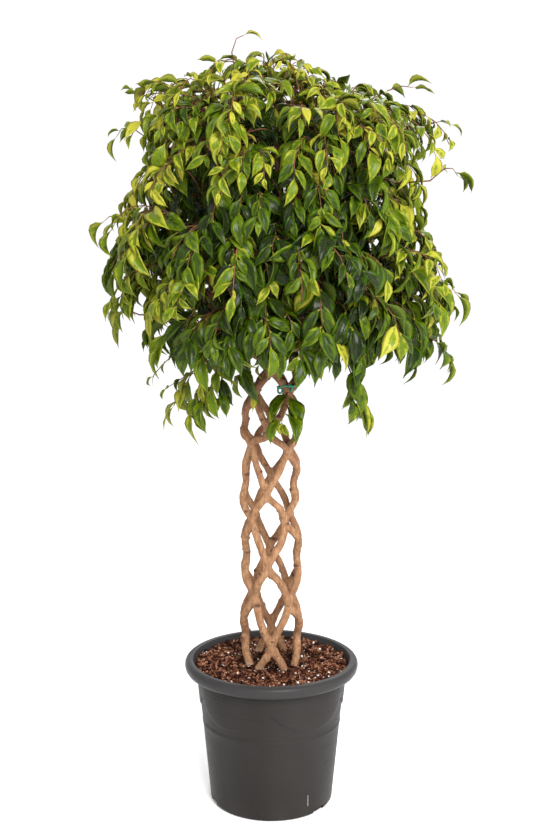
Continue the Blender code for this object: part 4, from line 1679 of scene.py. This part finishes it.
    def build(self, weave: Weave, leaders: Sequence[Route], leaf: Material, bark: Material) -> None:
        """Grows the whole head, with the leaves and the twigs of each CAD clump as two pieces.

        Args:
            weave: The woven stems, whose ends carry the lower clumps.
            leaders: The leaders that carry the upper clumps.
            leaf: The leaves' material.
            bark: The twigs' material.
        """
        self.start_bunches(weave, leaders)
        for bunch in self.bunches.values():
            self.grow_boughs(bunch)
        self.grow_inner()
        self.grow_outer()
        for shoot in SHOOTS:
            self.grow_shoot(shoot)
        self.grow_filler()
        for name, bunch in self.bunches.items():
            add_piece(f"{name}_leaves", mesh_of(bunch.leaves, name), leaf, Slot.LEAF, name)
            mesh = tubes(f"{name}_twigs", bunch.boughs + bunch.twigs, self.twig_sides)
            add_piece(f"{name}_twigs", mesh, bark, Slot.BARK)

    def start_bunches(self, weave: Weave, leaders: Sequence[Route]) -> None:
        """Starts a bunch for each clump, at the end of its limb or leader.

        Args:
            weave: The woven stems.
            leaders: The leaders, with the top one last.
        """
        ends = [weave.stem(stem).points[-1] for stem in range(weave.stems)]
        for index, azimuth in enumerate(azimuths(LOWER.clumps, math.radians(LOWER.first))):
            way = around(1.0, azimuth, 0.0)
            self.bunches[LOWER.clump(index)] = Bunch(LOWER, max(ends, key=way.dot))
        for index, leader in enumerate(leaders[:-1]):
            self.bunches[UPPER.clump(index)] = Bunch(UPPER, leader.points[-1])
        self.bunches[TOP_CLUMP] = Bunch(TOP, leaders[-1].points[-1])

    def grow_boughs(self, bunch: Bunch) -> None:
        """Gives a bunch its boughs, from the end of its limb out into its part of the head.

        Args:
            bunch: The bunch.
        """
        tier, root = bunch.tier, bunch.root
        azimuth = math.atan2(root.x, -root.y)
        for index in range(tier.boughs):
            turn = azimuth + self.rng.uniform(-tier.fan, tier.fan)
            height = root.z + between(*tier.rise, index / (tier.boughs - 1))
            end = around(tier.reach * self.rng.uniform(*self.bough_reach), turn, height)
            end.x += HEAD_SHIFT
            handle = root.lerp(end, 0.5) + UP * self.bough_arch
            points = list(geometry.interpolate_bezier(root, handle, handle, end, self.bough_points))
            bunch.boughs.append(tapered(points, self.bough_radius))

    def grow_inner(self) -> None:
        """Grows the twigs inside the head, whose leaves are old and dark: partly the head's older leaves,
        partly painted shade.
        """
        for _, radius, azimuth, height in self.spread(self.inner_count):
            radius *= self.inner_share * self.rng.uniform(*self.inner_draw)
            height = between(height, self.inner_middle, self.inner_flat) - self.inner_drop
            self.grow_twig(radius, azimuth, height, self.inner)

    def grow_filler(self) -> None:
        """Grows twigs with dark leaves into the room that the others leave deep in the head: old leaves, dark
        partly as painted shade.
        """
        for _, radius, azimuth, height in self.spread(self.filler_count):
            share = self.rng.uniform(*self.filler_share)
            if abs(radius * share * math.sin(azimuth)) < self.filler_aside:
                height = between(self.tier_height, height, share)
                self.grow_twig(radius * share, azimuth, height, self.filler)

    def grow_outer(self) -> None:
        """Grows the twigs that end near the head's outline, and the runners among them, which pass it."""
        for index, radius, azimuth, height in self.spread(self.twig_count):
            end = around(radius, azimuth, height)
            swell = 1 + self.lump * noise.noise(end / self.lump_size)
            runner = index % self.runner_every == self.runner_first
            reach = self.rng.uniform(*(self.runner_reach if runner else self.depth))
            if abs(end.x) > self.sparse[0] and height < self.sparse[1] and index % self.sparse_every == 0:
                continue
            youth = self.youth_at(end, height) + self.runner_youth * runner + self.side_at(end, height)
            size = self.runner_size if runner else 1.0
            height += self.rng.uniform(-self.height_draw, self.height_draw) + self.runner_rise * runner
            bare = between(*self.outer_bare, eased(height, *self.bare_heights))
            habit = Habit(youth, size, self.runner_perk * runner, bare)
            self.grow_twig(radius * swell * reach, azimuth, height, habit)

    def youth_at(self, end: Vector, height: float) -> float:
        """Draws the youth of a twig's leaves, which depends on where it ends.

        Args:
            end: Its end.
            height: The end's height.

        Returns:
            The youth, without what a runner or the head's sides add.
        """
        deep = bell(end.x / self.deep_half) * (1 - eased(height, *self.deep_high)) * (end.y < 0)
        deep *= eased(height, *self.deep_low)
        high = eased(height, *self.high_heights)
        youth = self.youth + self.high_youth * high + self.patch_youth * noise.noise(end / self.patch_size)
        return youth + (self.rng.gauss(0, self.twig_draw) - self.left_youth * end.x - self.deep_youth * deep)

    def side_at(self, end: Vector, height: float) -> float:
        """What the head's sides add to the youth."""
        return self.side_youth * eased(abs(end.x), *self.side_from) * (1 - eased(height, *self.side_high))

    def grow_twig(self, radius: float, azimuth: float, height: float, habit: Habit) -> None:
        """Grows a twig that arches over from the nearest bough and weeps to its end.

        Args:
            radius: The end's radius.
            azimuth: The end's azimuth in radians.
            height: The end's height.
            habit: How its leaves are.
        """
        end = around(radius, azimuth, height) + self.middle_at(height)
        bunch = self.bunches[self.clump_at(azimuth, radius, height)]
        starts = [point for bough in bunch.boughs for point in bough.points[self.bough_bare :]]
        aim = end - Vector((end.x, end.y, 0.0)) * self.inward + UP * self.above
        start = min(starts, key=lambda point: (point - aim).length * self.rng.uniform(*self.start_draw))
        out = Vector((end.x - HEAD_SHIFT, end.y, 0.0))
        steep = min(1.0, out.length / self.steep_reach)
        out.normalize()
        reach = (end - start).length
        outwards, upwards = self.first_handle
        first = start + (out * outwards + UP * upwards) * reach
        last = end + (UP * between(*self.fall, steep) - out * between(*self.overhang, steep)) * reach
        points = list(geometry.interpolate_bezier(start, first, last, end, self.twig_points))
        self.add_twig(points, bunch, habit)

    def grow_shoot(self, shoot: Shoot) -> None:
        """Grows a shoot past the head.

        Args:
            shoot: The shoot.
        """
        points = [
            around(radius / MILLIMETRES, math.radians(turn), height / MILLIMETRES)
            for turn, radius, height in shoot.points
        ]
        for point in points:
            point.x += HEAD_SHIFT
        bunch = self.bunches[shoot.clump]
        bare = shoot.habit.bare
        if shoot.joined:
            routes = bunch.boughs + bunch.twigs
            inner = [place for route in routes for place in route.points[: -self.shoot_bare]]
            points.insert(0, min(inner, key=lambda place: (place - points[0]).length))
            bare += (points[1] - points[0]).length
        self.add_twig(points, bunch, replace(shoot.habit, bare=bare))

    def add_twig(self, points: list[Vector], bunch: Bunch, habit: Habit) -> None:
        """Adds a twig to a bunch and dresses it."""
        bunch.twigs.append(tapered(points, self.twig_radius))
        self.leafage.dress(bunch.twigs[-1], bunch, habit)


@dataclass(frozen=True)
class Pot:
    """The round nursery pot: rolled rim, draped collar edge, ring, foot slots and drain holes."""

    height: float = 0.296
    rim_radius: float = 0.175
    rim_depth: float = 0.027
    rim_round: float = 0.010
    rim_steps: int = 8
    mouth_radius: float = 0.158
    collar_top: float = 0.152
    collar_foot: float = 0.206
    collar_step: float = 0.0025
    collar_steps: int = 8
    shoulder: float = 0.1430
    foot_radius: float = 0.1245
    foot_round: float = 0.006
    foot_steps: int = 4
    wall: float = 0.0028
    floor: float = 0.004
    steps: int = 144
    # Steps outwards and upwards from the mouth, the rim, the collar's top and the collar's foot
    rim_inside: tuple[Pair, ...] = ((0.0008, -0.0008), (0.0025, 0.0))
    rim_under: tuple[Pair, ...] = (
        (0.0001, -0.0130), (-0.0010, -0.0180), (-0.0036, -0.0222), (-0.0080, -0.0252),
        (-0.0140, -0.0267),
    )
    collar_root: tuple[Pair, ...] = ((0.003, 0.0), (0.0, -0.002))
    collar_edge: tuple[Pair, ...] = (
        (0.0025, 0.0030), (0.0021, 0.0010), (0.0004, -0.0006), (-0.0002, -0.0030),
    )
    drapes: int = 5
    drape_rise: float = 0.040
    drape_fall: float = 0.018
    drape_curve: float = 0.75
    drape_above: float = 0.060
    drape_below: float = 0.032
    ring_height: float = 0.168
    ring_relief: float = 0.0009
    # The ring's corners: steps of its relief above its middle, and whether it stands proud there
    ring_rows: tuple[Pair, ...] = ((3, 0.0), (1, 1.0), (-1, 1.0), (-3, 0.0))
    # Heights of plain rows of the wall above and below the ring
    upper_rows: tuple[float, ...] = (0.195, 0.188, 0.180, 0.174)
    lower_rows: tuple[float, ...] = (0.145, 0.12, 0.09, 0.06, 0.03, 0.012)
    slot_azimuths: tuple[float, ...] = (50.0, 170.0, 290.0)
    slot_size: Triple = (0.032, 0.016, 0.018)
    drain_holes: int = 6
    drain_radius: float = 0.007
    drain_ring: float = 0.085
    drain_sides: int = 20
    sharp_angle: float = 40.0

    def wall_radius(self, height: float) -> float:
        """The outer radius of the tapered wall below the collar."""
        share = (height - self.foot_round) / (self.collar_foot - self.foot_round)
        return between(self.foot_radius, self.shoulder, share)

    @property
    def inside(self) -> list[Pair]:
        """The half section of the inside, from the middle of the floor to the mouth.

        Returns:
            Radii and heights.
        """
        return [
            (0.0, self.floor),
            (self.wall_radius(self.floor) - self.wall, self.floor),
            (self.shoulder - self.wall, self.collar_foot),
            (self.collar_top - self.wall, self.height - self.rim_depth),
            (self.mouth_radius, self.height - self.wall),
        ]

    @property
    def rim(self) -> list[Pair]:
        """The half section of the rolled rim, from the mouth over the top to its under side.

        Returns:
            Radii and heights.
        """
        centre = (self.rim_radius - self.rim_round, self.height - self.rim_round)
        rounding = arc(centre, self.rim_round, QUARTER, self.rim_steps)[::-1]
        start = [(self.mouth_radius + out, self.height + up) for out, up in self.rim_inside]
        return start + rounding + [(self.rim_radius + out, self.height + up) for out, up in self.rim_under]

    @property
    def collar(self) -> list[Pair]:
        """The half section of the collar, from under the rim to its edge.

        Returns:
            Radii and heights.
        """
        low = self.height - self.rim_depth
        rows = [(self.collar_top + out, low + up) for out, up in self.collar_root]
        for share in shares(self.collar_steps)[1:-1]:
            out = between(self.collar_top, self.shoulder, share) + self.collar_step * share
            rows.append((out, between(low, self.collar_foot, share)))
        return rows + [(self.shoulder + out, self.collar_foot + up) for out, up in self.collar_edge]

    @property
    def skirt(self) -> list[Pair]:
        """The half section of the wall below the collar, with its ring, down to the middle of the foot.

        Returns:
            Radii and heights.
        """
        ring = []
        for step, proud in self.ring_rows:
            height = self.ring_height + step * self.ring_relief
            ring.append((self.wall_radius(height) + proud * self.ring_relief, height))
        upper = [(self.wall_radius(height), height) for height in self.upper_rows]
        lower = [(self.wall_radius(height), height) for height in self.lower_rows]
        centre = (self.foot_radius - self.foot_round, self.foot_round)
        foot = arc(centre, self.foot_round, -QUARTER, self.foot_steps)
        return upper + ring + lower + foot + [(0.0, 0.0)]

    def drape(self, point: Vector) -> float:
        """How far the collar's edge is raised: up to a peak at the front, and round the pot.

        Args:
            point: A point of the even pot.

        Returns:
            Its rise.
        """
        turn = abs((math.atan2(point.x, -point.y) / FULL_TURN * self.drapes + 0.5) % 1.0 - 0.5)
        rise = self.drape_rise * (1 - math.sin(math.pi * turn) ** self.drape_curve) - self.drape_fall
        above = point.z - self.collar_foot
        reach = self.drape_above if above > 0 else self.drape_below
        return rise * max(0.0, 1 - abs(above) / reach)

    def build(self, material: Material) -> None:
        """Makes the pot.

        Args:
            material: The plastic.
        """
        bm = turned(self.inside + self.rim + self.collar + self.skirt, self.steps)
        for vert in bm.verts:
            if math.hypot(vert.co.x, vert.co.y) > self.wall_radius(vert.co.z) - self.wall / 2:
                vert.co.z += self.drape(vert.co)
        shell = bare_object("pot_shell", mesh_of(bm, "pot_shell"))
        cutter = bare_object("pot_drainage", self.drainage())
        cut = shell.modifiers.new("Drainage", "BOOLEAN")
        cut.operation = "DIFFERENCE"
        cut.object = cutter
        cut.solver = "EXACT"
        mesh = settled(shell)
        bpy.data.objects.remove(cutter, do_unlink=True)
        mesh.shade_smooth()
        mesh.set_sharp_from_angle(angle=math.radians(self.sharp_angle))
        add_piece("nursery_pot", mesh, material, Slot.POT, "pot")

    def drainage(self) -> Mesh:
        """The cutters of the drain holes and foot slots.

        Returns:
            One mesh of them all.
        """
        bm = bmesh.new()
        for azimuth in azimuths(self.drain_holes):
            hole = bmesh.ops.create_cone(
                bm,
                cap_ends=True,
                segments=self.drain_sides,
                radius1=self.drain_radius,
                radius2=self.drain_radius,
                depth=4 * self.floor,
            )["verts"]
            bmesh.ops.translate(bm, verts=hole, vec=around(self.drain_ring, azimuth, self.floor / 2))
        for degrees in self.slot_azimuths:
            slot = bmesh.ops.create_cube(bm, size=1.0)["verts"]
            bmesh.ops.scale(bm, verts=slot, vec=self.slot_size)
            bmesh.ops.translate(bm, verts=slot, vec=(0.0, -self.foot_radius, 0.0))
            turn = Matrix.Rotation(math.radians(degrees), 3, "Z")
            bmesh.ops.rotate(bm, verts=slot, cent=MIDDLE, matrix=turn)
        return mesh_of(bm, "pot_drainage")


@dataclass(frozen=True)
class Soil:
    """The potting soil: a crumbly top with loose bark crumbs and perlite on it."""

    pot: Pot
    weave: Weave
    top: float = 0.285
    mound: float = 0.0055
    mound_reach: float = 0.014
    gap: float = 0.0004
    steps: int = 150
    rings: int = 44
    lump: float = 0.0035
    lump_size: float = 0.022
    clod: float = 0.0040
    clod_size: float = 0.005
    clod_share: float = 0.6
    clod_detail: int = 3
    # From this share of the radius outwards the top falls off so steeply
    edge_from: float = 0.93
    edge_fall: float = 0.05
    # Crumbs: how far their corners are drawn, their sizes, and the fibres among them
    crumbs: int = 3600
    crumb_bend: float = 0.3
    crumb_sizes: tuple[Pair, ...] = ((0.0015, 0.0055), (0.003, 0.012), (0.001, 0.004))
    fibre_share: float = 0.12
    fibre_width: float = 0.0007
    fibre_length: Pair = (0.012, 0.024)
    # Perlite: its lumps, and its size with the shares of its depth and height
    perlites: int = 230
    grain_lump: float = 0.45
    grain_knobs: float = 2.2
    grain_draw: float = 9.0
    grain_size: Pair = (0.0020, 0.0056)
    grain_depth: Pair = (0.7, 1.2)
    grain_height: float = 0.8
    # Loose bits: their distance from the pot, how much of their height is added, and their tilt
    margin: float = 0.004
    proud: float = 0.25
    tilt: float = 0.45

    @cached_property
    def feet(self) -> list[Vector]:
        """Where the stems enter the soil."""
        return [self.weave.crossing(stem, self.top)[0] for stem in range(self.weave.stems)]

    @cached_property
    def edge(self) -> float:
        """The radius at which the soil meets the pot."""
        share = (self.top - self.pot.height + self.pot.rim_depth) / (self.pot.rim_depth - self.pot.wall)
        return between(self.pot.collar_top - self.pot.wall, self.pot.mouth_radius, share) - self.gap

    def level(self, x: float, y: float) -> float:
        """The height of the soil's top.

        Args:
            x: The place to the right.
            y: The place to the back.

        Returns:
            The height there.
        """
        spot = Vector((x, y, self.top))
        lump = self.lump * noise.noise(spot / self.lump_size)
        clod = self.clod * noise.turbulence(spot / self.clod_size, self.clod_detail, False)
        fall = max(0.0, math.hypot(x, y) / self.edge - self.edge_from) * self.edge_fall
        near = min(math.hypot(x - foot.x, y - foot.y) for foot in self.feet)
        return self.top + lump + clod * self.clod_share - fall + self.mound * bell(near / self.mound_reach)

    def build(self, soil: Material, bark: Material, perlite: Material) -> None:
        """Makes the soil, the crumbs and the perlite.

        Args:
            soil: The soil's material.
            bark: The crumbs' material.
            perlite: The perlite's material.
        """
        profile = [(self.edge * step / self.rings, self.top) for step in range(self.rings + 1)]
        profile += [(radius - self.gap, height) for radius, height in reversed(self.pot.inside[1:4])]
        profile += [(0.0, self.pot.floor + self.gap)]
        bm = turned(profile, self.steps)
        for vert in bm.verts:
            if vert.co.z > self.top - self.gap:
                vert.co.z = self.level(vert.co.x, vert.co.y)
        mesh = mesh_of(bm, "soil")
        mesh.shade_smooth()
        add_piece("potting_soil", mesh, soil, Slot.SOIL, "soil")
        add_piece("bark_crumbs", self.scattered("crumbs", self.crumbs, self.crumb_form), bark, Slot.SOIL)
        add_piece("perlite", self.scattered("perlite", self.perlites, self.perlite_form), perlite, Slot.SOIL)

    def crumb_form(self, rng: random.Random) -> tuple[Mesh, Vector]:
        """Draws a splinter of bark.

        Args:
            rng: The random draw.

        Returns:
            Its form and its size.
        """
        bm = bmesh.new()
        for vert in bmesh.ops.create_cube(bm, size=1.0)["verts"]:
            vert.co += Vector([rng.uniform(-self.crumb_bend, self.crumb_bend) for _ in vert.co])
        size = Vector([rng.uniform(*span) for span in self.crumb_sizes])
        if rng.random() < self.fibre_share:
            size = Vector((self.fibre_width, rng.uniform(*self.fibre_length), self.fibre_width))
        return mesh_of(bm, "crumb"), size

    def perlite_form(self, rng: random.Random) -> tuple[Mesh, Vector]:
        """Draws a grain of perlite.

        Args:
            rng: The random draw.

        Returns:
            Its form and its size.
        """
        bm = bmesh.new()
        verts = bmesh.ops.create_icosphere(bm, subdivisions=2, radius=0.5)["verts"]
        seed = Vector((rng.uniform(0.0, self.grain_draw), 0.0, 0.0))
        for vert in verts:
            vert.co *= 1 + self.grain_lump * noise.noise(vert.co * self.grain_knobs + seed)
        width = rng.uniform(*self.grain_size)
        depth = width * rng.uniform(*self.grain_depth)
        return mesh_of(bm, "grain"), Vector((width, depth, width * self.grain_height))

    def scattered(self, name: str, count: int, form: Draw) -> Mesh:
        """One mesh of loose bits that lie half sunk in the soil's top.

        Args:
            name: Its name.
            count: How many bits.
            form: A function that draws one bit's mesh and size.

        Returns:
            The mesh.
        """
        rng = random.Random(name)
        bm = bmesh.new()
        for _ in range(count):
            mesh, size = form(rng)
            radius = (self.edge - self.margin) * math.sqrt(rng.random())
            spot = around(radius, rng.uniform(0.0, FULL_TURN), 0.0)
            spot.z = self.level(spot.x, spot.y) + size.z * self.proud
            turn = Matrix.Rotation(rng.uniform(0.0, FULL_TURN), 4, "Z")
            turn = turn @ Matrix.Rotation(rng.gauss(0, self.tilt), 4, "X")
            matrix = Matrix.Translation(spot) @ turn @ Matrix.Diagonal((*size, 1.0))
            bm.from_mesh(toned(mesh, matrix, 0.0, rng.random()))
            bpy.data.meshes.remove(mesh)
        return mesh_of(bm, name)


@dataclass(frozen=True)
class Tie:
    """A green wire round two stems, with an eye and a twist on the left and a loose end on the right."""

    height: float = 0.855
    stems: tuple[int, int] = (1, 2)
    radius: float = 0.0020
    loop_steps: int = 48
    sides: int = 8
    eye_radius: float = 0.0046
    eye_steps: int = 20
    eye_open: float = 0.12
    eye_drop: float = 1.3
    twist_radius: float = 0.0046
    twist_half: float = 0.0062
    # How far the loop's front is raised, and how narrow the raised part is
    rise: float = 0.0045
    rise_power: int = 3
    # Steps of the loose end from the loop's right: along the front and up
    tail: tuple[Pair, ...] = ((0.0, 0.0), (0.005, 0.003), (0.010, 0.0), (0.008, -0.007), (0.003, -0.008))

    def loop(self, weave: Weave) -> list[Vector]:
        """The loop drawn tight round both stems.

        Args:
            weave: The woven stems.

        Returns:
            Its points.
        """
        rounds = []
        for stem in self.stems:
            spot, radius = weave.crossing(stem, self.height)
            rounds.append((spot, radius + self.radius))
        points = []
        for side in range(self.loop_steps + 1):
            way = around(1.0, side * FULL_TURN / self.loop_steps, 0.0)
            spot, reach = max(rounds, key=lambda item: item[0].dot(way) + item[1])
            points.append(spot + way * reach + UP * self.rise * max(0.0, -way.y) ** self.rise_power)
        return points

    def eye(self, top: Vector, way: Vector) -> list[Vector]:
        """A hanging eye whose open end is at the side.

        Args:
            top: Where it hangs.
            way: The way along the tie's front.

        Returns:
            Its points.
        """
        points = []
        for step in range(self.eye_steps + 1):
            angle = FULL_TURN * (1 - self.eye_open) * step / self.eye_steps
            drop = UP * (self.eye_radius * (math.cos(angle) - 1) * self.eye_drop)
            points.append(top + way * (self.eye_radius * math.sin(angle)) + drop)
        return points

    def build(self, weave: Weave, material: Material) -> None:
        """Makes the tie.

        Args:
            weave: The woven stems.
            material: The plastic.
        """
        loop = self.loop(weave)
        middle = sum(point.y for point in loop) / len(loop)
        front = [point for point in loop if point.y < middle]
        left = min(front, key=lambda point: point.x)
        right = max(front, key=lambda point: point.x)
        along = (right - left).normalized()
        tail = [right + along * out + UP * up for out, up in self.tail]
        twist = [left - along * self.twist_half, left, left + along * self.twist_half]
        routes = [even(points, self.radius) for points in (loop, self.eye(left, along), tail)]
        routes.append(Route(twist, [self.radius, self.twist_radius, self.radius]))
        add_piece("wire_tie", tubes("wire_tie", routes, self.sides), material, Slot.TIE, "plant_tie")


@dataclass(frozen=True)
class Lamp:
    """A soft light, the point that it looks at, its size and its power."""

    name: str
    spot: Triple
    target: Triple
    size: float
    power: float

    def build(self) -> None:
        """Adds the light."""
        lamp = bpy.data.lights.new(self.name, "AREA")
        lamp.size = self.size
        lamp.energy = self.power
        obj = bare_object(self.name, lamp)
        obj.location = self.spot
        obj.rotation_euler = (Vector(self.target) - Vector(self.spot)).to_track_quat("-Z", "Y").to_euler()


@dataclass(frozen=True)
class Studio:
    """The pale floor, the soft lights and the camera."""

    camera_spot: Triple = (-0.010, -2.515, 1.221)
    camera_tilt: float = 9.83
    focal_pixels: float = 1300.0
    frame_height: float = 838.0
    sensor: float = 36.0
    floor_size: float = 40.0
    floor_height: float = -0.0005
    white: tuple[float, ...] = (1.0, 1.0, 1.0, 1.0)
    world: float = 1.02
    lamps: tuple[Lamp, ...] = (
        Lamp("key", (1.0, -3.3, 2.7), (0.0, 0.0, 1.0), 1.7, 212.0),
        Lamp("fill", (3.0, -1.2, 1.2), (0.0, 0.0, 0.6), 2.5, 30.0),
        Lamp("back", (0.6, 2.6, 2.8), (0.0, 0.0, 1.1), 2.0, 40.0),
    )

    def build(self, floor: Material) -> None:
        """Makes the studio.

        Args:
            floor: The floor's material.
        """
        self.set_camera()
        self.lay_floor(floor)
        for lamp in self.lamps:
            lamp.build()
        world = bpy.data.worlds.new("studio")
        world.use_nodes = True
        background = world.node_tree.nodes["Background"]
        background.inputs["Color"].default_value = self.white
        background.inputs["Strength"].default_value = self.world
        bpy.context.scene.world = world
        bpy.context.scene.view_settings.view_transform = "Standard"

    def set_camera(self) -> None:
        """Sets up the camera."""
        lens = bpy.data.cameras.new("camera")
        lens.sensor_width = self.sensor
        lens.lens = self.focal_pixels / self.frame_height * self.sensor
        camera = bare_object("camera", lens)
        camera.location = self.camera_spot
        camera.rotation_euler = (QUARTER - math.radians(self.camera_tilt), 0.0, 0.0)
        bpy.context.scene.camera = camera

    def lay_floor(self, material: Material) -> None:
        """Lays the floor.

        Args:
            material: Its material.
        """
        bm = bmesh.new()
        bmesh.ops.create_grid(bm, x_segments=1, y_segments=1, size=self.floor_size / 2)
        mesh = mesh_of(bm, "floor")
        mesh.materials.append(material)
        ground = bare_object("floor", mesh)
        ground.location.z = self.floor_height


def main() -> None:
    """Builds the plant's looks round its frame."""
    logging.basicConfig(level=logging.INFO, format="%(name)s: %(message)s")
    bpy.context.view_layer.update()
    weave = Weave()
    leaders = weave.leaders(UPPER.clumps, math.radians(UPPER.first))
    Studio().build(FloorFinish().build())
    pot = Pot()
    pot.build(PotFinish().build())
    Soil(pot, weave).build(SoilFinish().build(), CrumbFinish().build(), PERLITE.build())
    weave.build(leaders, BarkFinish().build())
    Tie().build(weave, TIE_PLASTIC.build())
    Head().build(weave, leaders, LeafFinish().build(), TWIG_BARK.build())


if __name__ == "__main__":
    main()
